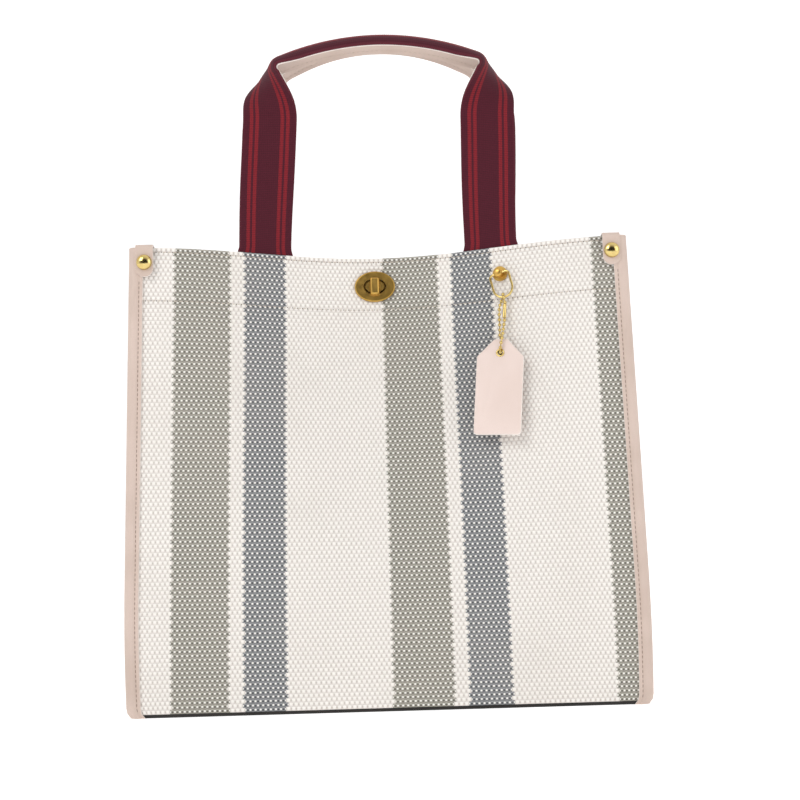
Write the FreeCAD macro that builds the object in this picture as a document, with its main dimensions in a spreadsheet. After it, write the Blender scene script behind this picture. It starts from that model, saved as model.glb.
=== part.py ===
import FreeCAD, Part
import math
import os
import Sketcher
from FreeCAD import Placement, Rotation, Vector

# An upright shopping tote: striped canvas front and back, leather gussets lapped over the canvas edges,
# a thin black base, two striped webbing handles with leather-lined grips, studded leather corner tabs,
# a turnlock that draws the mouth together, and a leather hang tag on a ball chain.
# Millimetres. +X to the bag's right, +Y to its back, +Z up; origin under the middle of the base.

# ---------------------------------------------------------------- driving sizes
SIZES = (
    ("base_width", 357.0),
    ("top_width", 342.0),
    ("wall_height", 318.0),
    ("base_depth", 130.0),
    ("top_depth", 97.0),
    ("mouth_gap", 12.0),
    ("closed_below_top", 22.0),
    ("mouth_dip", 5.4),
    ("gusset_fold", 32.0),
    ("canvas_thick", 1.4),
    ("facing_thick", 1.2),
    ("leather_thick", 1.5),
    ("lining_thick", 0.6),
    ("ply_gap", 0.1),
    ("hem_depth", 37.0),
    ("lap_width", 10.2),
    ("seam_lap", 2.7),
    ("wrap_radius", 5.0),
    ("base_edge", 3.0),
    ("base_floor", 1.4),
    ("base_rim", 1.4),
    ("board_thick", 2.0),
    ("webbing_width", 38.0),
    ("webbing_thick", 1.8),
    ("strap_spread", 79.0),
    ("rear_strap_spread", 83.0),
    ("handle_rise", 150.0),
    ("rear_grip_rise", 11.0),
    ("handle_sway", 3.5),
    ("leg_lean", 1.4),
    ("grip_corner_radius", 12.0),
    ("rear_grip_corner_radius", 24.0),
    ("grip_corner_angle", 66.0),
    ("rear_grip_corner_angle", 62.0),
    ("grip_flare", 3.2),
    ("rear_grip_flare", -2.0),
    ("grip_front_fold", 9.0),
    ("grip_back_fold", 5.5),
    ("grip_gap", 3.0),
    ("grip_leather_width", 37.0),
    ("grip_leather_thick", 1.2),
    ("tab_width", 12.0),
    ("tab_drop", 21.0),
    ("tab_thick", 1.3),
    ("tab_ease", 1.2),
    ("stud_inset", 11.0),
    ("stud_drop", 11.0),
    ("stud_radius", 5.3),
    ("stud_height", 3.8),
    ("stud_rim", 0.8),
    ("shank_radius", 1.5),
    ("rivet_cap_radius", 3.8),
    ("rivet_cap_thick", 1.0),
    ("lock_offset", -3.0),
    ("lock_drop", 26.0),
    ("lock_width", 28.6),
    ("lock_depth", 21.8),
    ("lock_thick", 2.2),
    ("lock_backing", 0.8),
    ("lock_opening_width", 16.0),
    ("lock_opening_depth", 11.4),
    ("lock_boss_width", 13.4),
    ("lock_boss_depth", 8.8),
    ("lock_bevel", 0.9),
    ("toggle_width", 6.4),
    ("toggle_length", 12.4),
    ("toggle_thick", 4.4),
    ("toggle_round", 1.6),
    ("stem_radius", 1.6),
    ("turn_play", 0.05),
    ("post_across", 85.0),
    ("post_drop", 22.0),
    ("rosette_radius", 5.2),
    ("rosette_thick", 1.6),
    ("post_radius", 2.8),
    ("post_length", 6.6),
    ("pin_height", 4.2),
    ("shackle_wire", 1.6),
    ("shackle_bow", 7.0),
    ("shackle_leg", 10.4),
    ("shackle_corner", 2.4),
    ("shackle_tilt", 15.0),
    ("bead_radius", 1.2),
    ("bead_pitch", 3.6),
    ("bead_link_radius", 0.45),
    ("chain_drop", 41.0),
    ("chain_lean", 12.0),
    ("tag_turn", 9.0),
    ("strand_gap", 3.6),
    ("connector_radius", 1.25),
    ("connector_length", 10.0),
    ("connector_down", 5.5),
    ("tag_width", 32.5),
    ("tag_length", 68.0),
    ("tag_thick", 2.6),
    ("tag_shoulder", 12.5),
    ("tag_point", 9.0),
    ("tag_corner", 2.5),
    ("eyelet_down", 10.0),
    ("eyelet_radius", 2.9),
    ("eyelet_bore", 1.9),
    ("eyelet_lip", 0.5),
)

doc = FreeCAD.newDocument("tote_bag")
sheet = doc.addObject("Spreadsheet::Sheet", "sizes")
for line, (alias, number) in enumerate(SIZES, start=1):
    sheet.set(f"A{line}", alias)
    sheet.set(f"B{line}", str(number))
    sheet.setAlias(f"B{line}", alias)
doc.recompute()


def size(alias):
    """A driving size, read back from the sheet."""
    return float(getattr(sheet, alias))


# ---------------------------------------------------------------- the shape of the walls
HEIGHT = size("wall_height")
GAP = size("ply_gap")
CANVAS = size("canvas_thick")
FACING = size("facing_thick")
LEATHER = size("leather_thick")
LINING = size("lining_thick")
WEBBING = size("webbing_thick")
# depths behind the outer face of the canvas at which each ply starts
TAIL_DEPTH = CANVAS + GAP
FACING_DEPTH = TAIL_DEPTH + WEBBING + GAP
LINING_DEPTH = FACING_DEPTH + FACING + GAP
STACK = LINING_DEPTH + GAP


def mix(start, end, share):
    return start + (end - start) * share


def ease(value):
    """Nought to one with level ends."""
    value = min(max(value, 0.0), 1.0)
    return value * value * (3.0 - 2.0 * value)


def swell(value):
    """One in the middle, falling smoothly to nought at plus and minus one."""
    value = min(max(value, -1.0), 1.0)
    return 0.5 * (1.0 + math.cos(math.pi * value))


def half_width(z):
    return mix(size("base_width"), size("top_width"), z / HEIGHT) / 2.0


def half_depth(z):
    return mix(size("base_depth"), size("top_depth"), z / HEIGHT) / 2.0


def drawn_in(z):
    """How much of the closure's pull reaches this height."""
    share = min(z / (HEIGHT - size("closed_below_top")), 1.0)
    return share**3 * (4.0 - 3.0 * share)


def wall_y(x, z):
    """Outer face of the front canvas: flat at its corners, drawn in at the middle of the mouth."""
    corner = -half_depth(z)
    middle = -mix(size("base_depth"), size("mouth_gap"), drawn_in(z)) / 2.0
    return corner + (middle - corner) * swell(x / half_width(z))


def top_z(x):
    """Top edge of the canvas, which sinks a little where the mouth is drawn in."""
    return HEIGHT - size("mouth_dip") * swell(x / half_width(HEIGHT))


def side_x(y, z):
    """Outer face of the right gusset, which folds inwards towards its top."""
    reach = half_depth(z) + GAP + LEATHER - size("wrap_radius")
    return half_width(z) - size("gusset_fold") * (z / HEIGHT) ** 2 * swell(y / reach)


# ---------------------------------------------------------------- shared ways of making a piece
TURN_ROUND = Placement(Vector(0, 0, 0), Rotation(Vector(0, 0, 1), 180))
pieces = {}


def keep(item, label, place=None):
    """Names a sub-part and puts it in its place."""
    item.Label = label
    if place is not None:
        item.Placement = place
    pieces[label] = item
    return item


def shaped(label, shape, place=None):
    """A sub-part whose shape comes from Part's own functions."""
    item = doc.addObject("Part::Feature", label)
    item.Shape = shape
    return keep(item, label, place)


def solid_between(outer, inner):
    """A closed solid between two grids of points that face each other."""
    skins = []
    for grid in (outer, inner):
        surface = Part.BSplineSurface()
        surface.interpolate(grid)
        skins.append(surface)
    faces = [surface.toShape() for surface in skins]
    sides = []
    for surface in skins:
        low_u, high_u, low_v, high_v = surface.bounds()
        rims = [surface.uIso(low_u), surface.uIso(high_u), surface.vIso(low_v), surface.vIso(high_v)]
        sides.append([rim.toShape() for rim in rims])
    for first, second in zip(*sides):
        faces.append(Part.makeRuledSurface(first, second))
    shell = Part.makeShell(faces)
    shell.sewShape()
    solid = Part.makeSolid(shell)
    if solid.Volume < 0:
        solid.reverse()
    return solid


def wall_ply(x_low, x_high, z_low, z_high, depth, thick, columns=16, rows=12):
    """A ply that lies against the front wall; each limit is a function, of height or of width."""

    def grid(behind):
        lines = []
        for column in range(columns + 1):
            across = column / columns
            at_top = mix(x_low(HEIGHT), x_high(HEIGHT), across)
            line = []
            for row in range(rows + 1):
                z = mix(z_low(at_top), z_high(at_top), row / rows)
                x = mix(x_low(z), x_high(z), across)
                line.append(Vector(x, wall_y(x, z) + behind, z))
            lines.append(line)
        return lines

    return solid_between(grid(depth), grid(depth + thick))


def on_wall(x, z, out=0.0):
    """Local frame on the front wall: X to the right, Y up the wall, Z straight out of it."""
    step = 0.5
    slope_x = (wall_y(x + step, z) - wall_y(x - step, z)) / (2 * step)
    slope_z = (wall_y(x, z + step) - wall_y(x, z - step)) / (2 * step)
    across = Vector(1, slope_x, 0).normalize()
    outward = across.cross(Vector(0, slope_z, 1)).normalize()
    upward = outward.cross(across)
    turn = Rotation(across, upward, outward, "ZXY")
    return Placement(Vector(x, wall_y(x, z), z) + outward * out, turn)


def sketch_on(body, name, role="XY_Plane"):
    """A sketch on one of the body's own origin planes."""
    plane = [item for item in body.Origin.OriginFeatures if item.Role == role][0]
    sketch = body.newObject("Sketcher::SketchObject", name)
    sketch.AttachmentSupport = [(plane, "")]
    sketch.MapMode = "FlatFace"
    return sketch


def outline(sketch, corners):
    """Closed straight-sided outline; returns the index of its first line."""
    first = sketch.GeometryCount
    count = len(corners)
    for number, (x, y) in enumerate(corners):
        end_x, end_y = corners[(number + 1) % count]
        sketch.addGeometry(Part.LineSegment(Vector(x, y, 0), Vector(end_x, end_y, 0)))
    for number in range(count):
        following = first + (number + 1) % count
        sketch.addConstraint(Sketcher.Constraint("Coincident", first + number, 2, following, 1))
    return first


def measure(sketch, name, expression, kind, *where):
    """A named dimension bound to the sheet."""
    number = sketch.addConstraint(Sketcher.Constraint(kind, *where))
    sketch.renameConstraint(number, name)
    sketch.setExpression(f"Constraints.{name}", expression)


def rectangle(sketch, width, depth):
    """A rectangle about the sketch's origin, bound to two expressions."""
    first = outline(sketch, [(-9, -6), (9, -6), (9, 6), (-9, 6)])
    for line, way in ((0, "Horizontal"), (1, "Vertical"), (2, "Horizontal"), (3, "Vertical")):
        sketch.addConstraint(Sketcher.Constraint(way, first + line))
    sketch.addConstraint(Sketcher.Constraint("Symmetric", first, 1, first + 1, 2, -1, 1))
    measure(sketch, "width", width, "DistanceX", first, 1, first, 2, 18.0)
    measure(sketch, "depth", depth, "DistanceY", first + 1, 1, first + 1, 2, 12.0)


def circle(sketch, radius):
    number = sketch.addGeometry(Part.Circle(Vector(0, 0, 0), Vector(0, 0, 1), 2.0))
    sketch.addConstraint(Sketcher.Constraint("Coincident", number, 3, -1, 1))
    measure(sketch, "radius", radius, "Radius", number, 2.0)
    return number


def pad(body, sketch, name, length):
    feature = body.newObject("PartDesign::Pad", name)
    feature.Profile = sketch
    feature.setExpression("Length", length)
    sketch.Visibility = False
    return feature


def pocket(body, sketch, name, length=None, reverse=False):
    """A pocket of the length given, or right through both ways."""
    feature = body.newObject("PartDesign::Pocket", name)
    feature.Profile = sketch
    if length is None:
        feature.Type = "ThroughAll"
        feature.Midplane = True
    else:
        feature.setExpression("Length", length)
    feature.Reversed = reverse
    return feature


def primitive(kind, name, **bound):
    """A Part primitive whose properties are bound to the sheet."""
    item = doc.addObject(kind, name)
    for prop, expression in bound.items():
        item.setExpression(prop, expression)
    return item


def raised(item, expression):
    item.setExpression(".Placement.Base.z", expression)
    return item


def fused(label, items, place):
    item = doc.addObject("Part::MultiFuse", label)
    item.Shapes = items
    return keep(item, label, place)


def cut(label, base, tool, place):
    item = doc.addObject("Part::Cut", label)
    item.Base = base
    item.Tool = tool
    return keep(item, label, place) if place is not None else item


def oval(name, width, depth, thick, start="0"):
    """An oval disc about the local Z axis."""
    rim = primitive(
        "Part::Ellipse", name + "_rim", MajorRadius=f"({width}) / 2", MinorRadius=f"({depth}) / 2"
    )
    raised(rim, start)
    disc = doc.addObject("Part::Extrusion", name)
    disc.Base = rim
    disc.DirMode = "Custom"
    disc.Dir = Vector(0, 0, 1)
    disc.Solid = True
    disc.setExpression("LengthFwd", thick)
    return disc


# ---------------------------------------------------------------- places of the fittings
stud_x = half_width(HEIGHT) - size("stud_inset")
stud_z = HEIGHT - size("stud_drop")
lock_x = size("lock_offset")
lock_z = HEIGHT - size("lock_drop")
post_x = size("post_across")
post_z = HEIGHT - size("post_drop")
post_place = on_wall(post_x, post_z)
LOCK_TURN = Rotation(Vector(1, 0, 0), Vector(0, 0, 1), Vector(0, -1, 0), "ZXY")


def lock_seat():
    """The plane, across Y, on which the lock's oval plate stands clear of the canvas."""
    half_across = size("lock_width") / 2
    half_up = size("lock_depth") / 2
    rims = [
        wall_y(lock_x + half_across * math.cos(angle), lock_z + half_up * math.sin(angle))
        for angle in [math.radians(step * 15) for step in range(24)]
    ]
    return min(rims) - GAP


lock_y = lock_seat()


def at_corner(x):
    """Local frame on the plane of the lapped corner: X right, Y up the wall, Z out of it."""
    slope = (half_depth(0) - half_depth(HEIGHT)) / HEIGHT
    upward = Vector(0, slope, 1).normalize()
    turn = Rotation(Vector(1, 0, 0), upward, Vector(1, 0, 0).cross(upward), "ZXY")
    return Placement(Vector(x, -half_depth(stud_z), stud_z), turn)


corner_places = {
    "front_left": at_corner(-stud_x),
    "front_right": at_corner(stud_x),
    "back_left": TURN_ROUND.multiply(at_corner(stud_x)),
    "back_right": TURN_ROUND.multiply(at_corner(-stud_x)),
}


def drill(place, radius, front=20.0, back=10.0):
    """A round cutter along a local frame's Z axis."""
    cutter = Part.makeCylinder(radius, front + back, Vector(0, 0, -back), Vector(0, 0, 1))
    return cutter.transformGeometry(place.toMatrix())


def lock_cutter():
    """An oval cutter for the turnlock's opening through the front plies."""
    rim = Part.Ellipse(Vector(0, 0, 0), size("lock_opening_width") / 2, size("lock_opening_depth") / 2)
    face = Part.Face(Part.Wire(rim.toShape()))
    cutter = face.extrude(Vector(0, 0, 20))
    cutter.Placement = Placement(Vector(lock_x, 0, lock_z), LOCK_TURN)
    return cutter


rivet_bore = size("shank_radius") + GAP
stud_cutters = {name: drill(place, rivet_bore) for name, place in corner_places.items()}
post_cutter = drill(post_place, rivet_bore)


# ---------------------------------------------------------------- canvas, facings and lining
def canvas_edge(z):
    return half_width(z) - size("lap_width") + size("seam_lap")


def facing_edge(z):
    return half_width(z) - size("wrap_radius") - GAP


def lining_edge(z):
    return half_width(z) - LEATHER - LINING - 2 * GAP - size("wrap_radius") / 2


def canvas_panel():
    return wall_ply(
        lambda z: -canvas_edge(z),
        canvas_edge,
        lambda x: size("base_edge") + GAP,
        top_z,
        0.0,
        CANVAS,
    )


def facing_band():
    return wall_ply(
        lambda z: -facing_edge(z),
        facing_edge,
        lambda x: top_z(x) - size("hem_depth"),
        top_z,
        FACING_DEPTH,
        FACING,
        rows=4,
    )


board_top = size("base_floor") + GAP + size("board_thick")
lining_floor = board_top + GAP
lining_top_lap = 3.0


def lining_wall():
    return wall_ply(
        lambda z: -lining_edge(z),
        lining_edge,
        lambda x: lining_floor + LINING + GAP,
        lambda x: top_z(x) - size("hem_depth") + lining_top_lap,
        LINING_DEPTH,
        LINING,
    )


front_holes = [stud_cutters["front_left"], stud_cutters["front_right"], post_cutter, lock_cutter()]
back_holes = [
    stud_cutters["back_left"],
    stud_cutters["back_right"],
    drill(Placement(Vector(lock_x, size("mouth_gap") / 2, lock_z), LOCK_TURN), rivet_bore),
]
turned = TURN_ROUND.toMatrix()
shaped("front_panel", canvas_panel().cut(front_holes))
shaped("back_panel", canvas_panel().transformGeometry(turned).cut(back_holes))
shaped("front_facing", facing_band().cut(front_holes))
shaped("back_facing", facing_band().transformGeometry(turned).cut(back_holes))
shaped("front_lining", lining_wall())
shaped("back_lining", lining_wall().transformGeometry(turned))


def side_lining(sign):
    """Lining against one gusset, between the two lined walls."""
    rows = 12
    columns = 10
    grids = []
    near = LEATHER + 5 * GAP
    for behind in (near, near + LINING):
        lines = []
        for column in range(columns + 1):
            line = []
            for row in range(rows + 1):
                z = mix(lining_floor + LINING + GAP, HEIGHT - size("hem_depth") + lining_top_lap, row / rows)
                reach = half_depth(z) - LINING_DEPTH
                y = mix(-reach, reach, column / columns)
                line.append(Vector(sign * (side_x(y, z) - behind), y, z))
            lines.append(line)
        grids.append(lines)
    return solid_between(*grids)


shaped("left_lining", side_lining(-1))
shaped("right_lining", side_lining(1))


# ---------------------------------------------------------------- leather gussets
def gusset_section(sign, z):
    """One level of a gusset: a lap on the front canvas, a rounded edge, the side, and the same behind."""
    radius = size("wrap_radius")
    outer_y = half_depth(z) + GAP + LEATHER
    wrap_y = outer_y - radius
    lap_x = half_width(z) - size("lap_width")
    wrap_x = half_width(z) - radius

    def place(x, y):
        return Vector(sign * x, y, z)

    def wrap(way, bend):
        middle = bend * math.sqrt(0.5)
        return Part.Arc(
            place(wrap_x, way * (wrap_y + bend)),
            place(wrap_x + middle, way * (wrap_y + middle)),
            place(wrap_x + bend, way * wrap_y),
        ).toShape()

    def side(behind):
        points = []
        for number in range(13):
            y = mix(-wrap_y, wrap_y, number / 12)
            points.append(place(side_x(y, z) - behind, y))
        curve = Part.BSplineCurve()
        curve.interpolate(points)
        return curve.toShape()

    def line(start, end):
        return Part.LineSegment(start, end).toShape()

    edges = [
        line(place(lap_x, -outer_y), place(wrap_x, -outer_y)),
        wrap(-1, radius),
        side(0.0),
        wrap(1, radius),
        line(place(wrap_x, outer_y), place(lap_x, outer_y)),
        line(place(lap_x, outer_y), place(lap_x, outer_y - LEATHER)),
        line(place(lap_x, outer_y - LEATHER), place(wrap_x, outer_y - LEATHER)),
        wrap(1, radius - LEATHER),
        side(LEATHER),
        wrap(-1, radius - LEATHER),
        line(place(wrap_x, -outer_y + LEATHER), place(lap_x, -outer_y + LEATHER)),
        line(place(lap_x, -outer_y + LEATHER), place(lap_x, -outer_y)),
    ]
    return Part.Wire(Part.__sortEdges__(edges))


def gusset(sign):
    levels = 8
    wires = [gusset_section(sign, mix(GAP, HEIGHT, level / levels)) for level in range(levels + 1)]
    return Part.makeLoft(wires, True, True)


shaped("left_gusset", gusset(-1).cut([stud_cutters["front_left"], stud_cutters["back_left"]]))
shaped("right_gusset", gusset(1).cut([stud_cutters["front_right"], stud_cutters["back_right"]]))


# ---------------------------------------------------------------- base
def base_panel():
    """Black base: a shallow tray whose rim shows under the canvas."""
    body = doc.addObject("PartDesign::Body", "base_panel")
    plan = sketch_on(body, "base_plan")
    rectangle(plan, "sizes.base_width - 2 * sizes.leather_thick - 4 * sizes.ply_gap", "sizes.base_depth")
    slab = pad(body, plan, "base_pad", "sizes.base_edge")
    doc.recompute()
    upright = [
        f"Edge{number}"
        for number, edge in enumerate(slab.Shape.Edges, start=1)
        if abs(edge.tangentAt(edge.FirstParameter).z) > 0.99
    ]
    corners = body.newObject("PartDesign::Fillet", "base_corners")
    corners.Base = (slab, upright)
    corners.setExpression("Radius", "sizes.wrap_radius")
    well = sketch_on(body, "base_well")
    well.AttachmentOffset = Placement(Vector(0, 0, 1), Rotation())
    well.setExpression(".AttachmentOffset.Base.z", "sizes.base_edge")
    rectangle(
        well,
        "sizes.base_width - 2 * (sizes.leather_thick + sizes.ply_gap + sizes.wrap_radius)",
        "sizes.base_depth - 2 * sizes.base_rim",
    )
    pocket(body, well, "base_well_pocket", "sizes.base_edge - sizes.base_floor")
    return keep(body, "base_panel")


def flat_insert(label, inset, thick, start):
    """A flat rectangle that lies in the base, clear of the tray's rim."""
    body = doc.addObject("PartDesign::Body", label)
    plan = sketch_on(body, label + "_plan")
    rectangle(
        plan,
        f"sizes.base_width - 2 * (sizes.leather_thick + sizes.wrap_radius + {inset})",
        f"sizes.base_depth - 2 * (sizes.base_rim + {inset})",
    )
    pad(body, plan, label + "_pad", thick)
    return keep(body, label, Placement(Vector(0, 0, start), Rotation()))


insert_play = 0.5
base_panel()
flat_insert("base_board", insert_play, "sizes.board_thick", size("base_floor") + GAP)
lining_inset = LINING_DEPTH + LINING + GAP - size("base_rim")
flat_insert("base_lining", lining_inset, "sizes.lining_thick", lining_floor)


# ---------------------------------------------------------------- handles
WEB_HALF = size("webbing_width") / 2
handle_start = 2.0
tail_stop = 1.4
TWIST_BELOW = 32.0
ribbon_pitch = 4.5
TWIST_ABOVE = 16.0


class HandlePath:
    """Centre line of half a handle: a leg, a tight bend and half of the grip, then the mirror of it."""

    def __init__(self, spread, rise, corner_angle, corner_radius, flare, sway, folds):
        self.spread = spread
        self.folds = folds
        self.flare = flare
        self.sway = sway
        self.lean = math.radians(size("leg_lean"))
        self.bend = math.radians(corner_angle)
        self.corner = corner_radius
        self.foot = top_z(spread) + handle_start
        climb = HEIGHT + rise - WEBBING / 2 - self.foot
        share = (1 - math.sin(self.bend)) / math.cos(self.bend)
        across = self.corner * (math.cos(self.lean) - math.cos(self.bend))
        upward = self.corner * (math.sin(self.bend) - math.sin(self.lean))
        self.leg = (climb - upward - share * (spread - across)) / (
            math.cos(self.lean) - share * math.sin(self.lean)
        )
        self.grip = (spread - across - self.leg * math.sin(self.lean)) / math.cos(self.bend)
        self.to_bend = self.leg
        self.to_grip = self.leg + self.corner * (self.bend - self.lean)
        self.length = self.to_grip + self.grip * (math.pi / 2 - self.bend)

    def centre(self, run):
        """Distance out from the middle, height above the foot, and the angle from upright."""
        along = min(run, self.to_bend)
        out = self.spread - along * math.sin(self.lean)
        up = along * math.cos(self.lean)
        angle = self.lean
        if run > self.to_bend:
            angle = min(self.lean + (run - self.to_bend) / self.corner, self.bend)
            out -= self.corner * (math.cos(self.lean) - math.cos(angle))
            up += self.corner * (math.sin(angle) - math.sin(self.lean))
        if run > self.to_grip:
            angle = self.bend + (run - self.to_grip) / self.grip
            out -= self.grip * (math.cos(self.bend) - math.cos(angle))
            up += self.grip * (math.sin(angle) - math.sin(self.bend))
        # the leg stands out a little where it turns on its edge, and the grip takes that up towards its middle
        start = self.to_bend - TWIST_BELOW
        fade = ease((self.length - run) / (self.length - self.to_grip))
        return out + self.flare * ease((run - start) / TWIST_BELOW) * fade, up, angle

    def twist(self, run):
        """Turn of the webbing about its own length: flat to the wall below, level across the grip."""
        step = 0.5
        slope = (wall_y(self.spread + step, HEIGHT) - wall_y(self.spread - step, HEIGHT)) / (2 * step)
        low = math.atan(slope) * (1 - ease(run / (0.75 * self.leg)))
        start = self.leg - TWIST_BELOW
        high = 0.5 * math.pi * ease((run - start) / (TWIST_BELOW + TWIST_ABOVE))
        return low + high

    def fold(self, run, lateral):
        """How far that edge of the webbing is turned down: nought on the leg, full on the grip."""
        start = self.leg - TWIST_BELOW / 2
        outer, inner = self.folds
        return (outer if lateral < 0 else inner) * ease((run - start) / (TWIST_BELOW + TWIST_ABOVE))

    def point(self, sign, run, lateral, lift, half):
        """A point of the webbing: lateral runs -1 to 1 across it, lift stands off its middle plane."""
        out, up, angle = self.centre(run)
        settle = ease(run / self.leg)
        foot_y = wall_y(self.spread, HEIGHT) + TAIL_DEPTH + WEBBING / 2
        grip_y = -(WEB_HALF + size("grip_gap") / 2)
        middle = Vector(sign * out + self.sway * settle, mix(foot_y, grip_y, settle), self.foot + up)
        outward = Vector(sign * math.cos(angle), 0, math.sin(angle))
        twist = self.twist(run)
        width_way = outward * math.cos(twist) + Vector(0, 1, 0) * math.sin(twist)
        face_way = Vector(0, -1, 0) * math.cos(twist) + outward * math.sin(twist)
        share = lateral * half / WEB_HALF
        fold = self.fold(run, lateral)
        tilt = math.atan(4 * fold * share**3 / WEB_HALF)
        skin_way = face_way * math.cos(tilt) + width_way * math.sin(tilt)
        return middle + width_way * (lateral * half) - face_way * (fold * share**4) + skin_way * lift


def ribbon(path, first_run, half, lift, thick):
    """A band that follows a handle from one leg over the grip to the other."""
    stations = round((path.length - first_run) / ribbon_pitch)
    grids = []
    for level in (lift + thick / 2, lift - thick / 2):
        lines = []
        for sign, order in ((-1, range(stations)), (1, range(stations, -1, -1))):
            for number in order:
                run = mix(first_run, path.length, number / stations)
                lines.append([path.point(sign, run, lateral / 4, level, half) for lateral in range(-4, 5)])
        grids.append(lines)
    return solid_between(*grids)


def tails(spread):
    """The two ends of a handle's webbing, sewn in between the canvas and its facing."""
    ends = []
    for sign in (-1, 1):
        ends.append(
            wall_ply(
                lambda z, sign=sign: sign * spread - WEB_HALF,
                lambda z, sign=sign: sign * spread + WEB_HALF,
                lambda x: top_z(x) - size("hem_depth") + GAP,
                lambda x: top_z(spread) + handle_start - tail_stop,
                TAIL_DEPTH,
                WEBBING,
                columns=6,
                rows=4,
            )
        )
    return Part.makeCompound([end.cut(post_cutter) for end in ends])


grip_lift = -(WEBBING / 2 + 6 * GAP + size("grip_leather_thick") / 2)
leather_start = 8.0
# both grips lean to the same side of the bag; the rear handle is drawn turned round, so its sway is reversed
rear_rise = size("handle_rise") + size("rear_grip_rise")
sway = size("handle_sway")
front_path = HandlePath(
    size("strap_spread"),
    size("handle_rise"),
    size("grip_corner_angle"),
    size("grip_corner_radius"),
    size("grip_flare"),
    sway,
    (size("grip_front_fold"), size("grip_back_fold")),
)
rear_path = HandlePath(
    size("rear_strap_spread"),
    rear_rise,
    size("rear_grip_corner_angle"),
    size("rear_grip_corner_radius"),
    size("rear_grip_flare"),
    -sway,
    (size("grip_back_fold"), size("grip_front_fold")),
)
for name, path, place in (("front", front_path, Placement()), ("rear", rear_path, TURN_ROUND)):
    lined_from = path.leg - leather_start
    grip_half = size("grip_leather_width") / 2
    shaped(f"{name}_handle_webbing", ribbon(path, 0.0, WEB_HALF, 0.0, WEBBING), place)
    grip = ribbon(path, lined_from, grip_half, grip_lift, size("grip_leather_thick"))
    shaped(f"{name}_handle_grip_leather", grip, place)
    shaped(f"{name}_handle_tails", tails(path.spread), place)


# ---------------------------------------------------------------- corner tabs and their studs
outer_skin = GAP + LEATHER + GAP
inner_skin = LINING_DEPTH


def corner_tab(label, place):
    """A leather strip folded over the top edge; local Z is straight out, Y is up."""
    body = doc.addObject("PartDesign::Body", label)
    fold = sketch_on(body, label + "_fold", "YZ_Plane")
    outer = outline(fold, [(-9, 5), (11, 5), (11, -8), (-9, -8), (-9, -6), (9, -6), (9, 3), (-9, 3)])
    ways = ("Horizontal", "Vertical", "Horizontal", "Vertical", "Horizontal", "Vertical", "Horizontal")
    for line, way in enumerate(ways):
        fold.addConstraint(Sketcher.Constraint(way, outer + line))
    fold.addConstraint(Sketcher.Constraint("Vertical", outer + 7))
    fold.addConstraint(Sketcher.Constraint("PointOnObject", outer + 3, 1, outer + 7))
    skin = "2 * sizes.ply_gap + sizes.leather_thick"
    stack = "sizes.canvas_thick + sizes.webbing_thick + sizes.facing_thick + 3 * sizes.ply_gap"
    measure(fold, "front_out", f"{skin} + sizes.tab_thick", "DistanceY", -1, 1, outer, 1, 5.0)
    measure(fold, "front_in", skin, "DistanceY", -1, 1, outer + 6, 2, 3.0)
    behind = f"{stack} + sizes.tab_ease"
    measure(fold, "back_in", behind, "DistanceY", outer + 4, 1, -1, 1, 6.0)
    measure(fold, "back_out", f"{behind} + sizes.tab_thick", "DistanceY", outer + 3, 1, -1, 1, 8.0)
    measure(fold, "over_in", "sizes.stud_drop + 5 * sizes.ply_gap", "DistanceX", -1, 1, outer + 5, 1, 9.0)
    over = "sizes.stud_drop + 5 * sizes.ply_gap + sizes.tab_thick"
    measure(fold, "over_out", over, "DistanceX", -1, 1, outer, 2, 11.0)
    measure(fold, "reach", "sizes.tab_drop - sizes.stud_drop", "DistanceX", outer, 1, -1, 1, 9.0)
    strip = pad(body, fold, label + "_pad", "sizes.tab_width")
    strip.Midplane = True
    doc.recompute()
    low = min(vertex.Y for vertex in strip.Shape.Vertexes)
    ends = [
        f"Edge{number}"
        for number, edge in enumerate(strip.Shape.Edges, start=1)
        if abs(edge.CenterOfMass.y - low) < 0.01 and abs(edge.tangentAt(edge.FirstParameter).z) > 0.99
    ]
    round_ends = body.newObject("PartDesign::Fillet", label + "_round_ends")
    round_ends.Base = (strip, ends)
    round_ends.setExpression("Radius", "0.45 * sizes.tab_width")
    hole = sketch_on(body, label + "_hole")
    circle(hole, "sizes.shank_radius + sizes.ply_gap")
    pocket(body, hole, label + "_hole_pocket")
    return keep(body, label, place)


def corner_stud(name):
    """A domed stud whose shank runs through the tab, the lapped seam, the facing and the tab's back."""
    start = "2 * sizes.ply_gap + sizes.leather_thick + sizes.tab_thick + sizes.ply_gap"
    through = (
        f"{start} + sizes.canvas_thick + sizes.webbing_thick + sizes.facing_thick"
        " + 3 * sizes.ply_gap + sizes.tab_ease + sizes.tab_thick + sizes.ply_gap"
    )
    rim = primitive("Part::Cylinder", name + "_rim", Radius="sizes.stud_radius", Height="sizes.stud_rim")
    raised(rim, start)
    dome = primitive(
        "Part::Ellipsoid",
        name + "_dome",
        Radius1="sizes.stud_height - sizes.stud_rim",
        Radius2="sizes.stud_radius",
        Radius3="sizes.stud_radius",
    )
    dome.Angle1 = 0
    raised(dome, f"{start} + sizes.stud_rim")
    shank = primitive(
        "Part::Cylinder", name + "_shank", Radius="sizes.shank_radius", Height=f"{through} + sizes.stud_rim / 2"
    )
    raised(shank, f"{start} + sizes.stud_rim / 2 - ({through} + sizes.stud_rim / 2)")
    stud = doc.addObject("Part::MultiFuse", name)
    stud.Shapes = [rim, dome, shank]
    return stud


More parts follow.
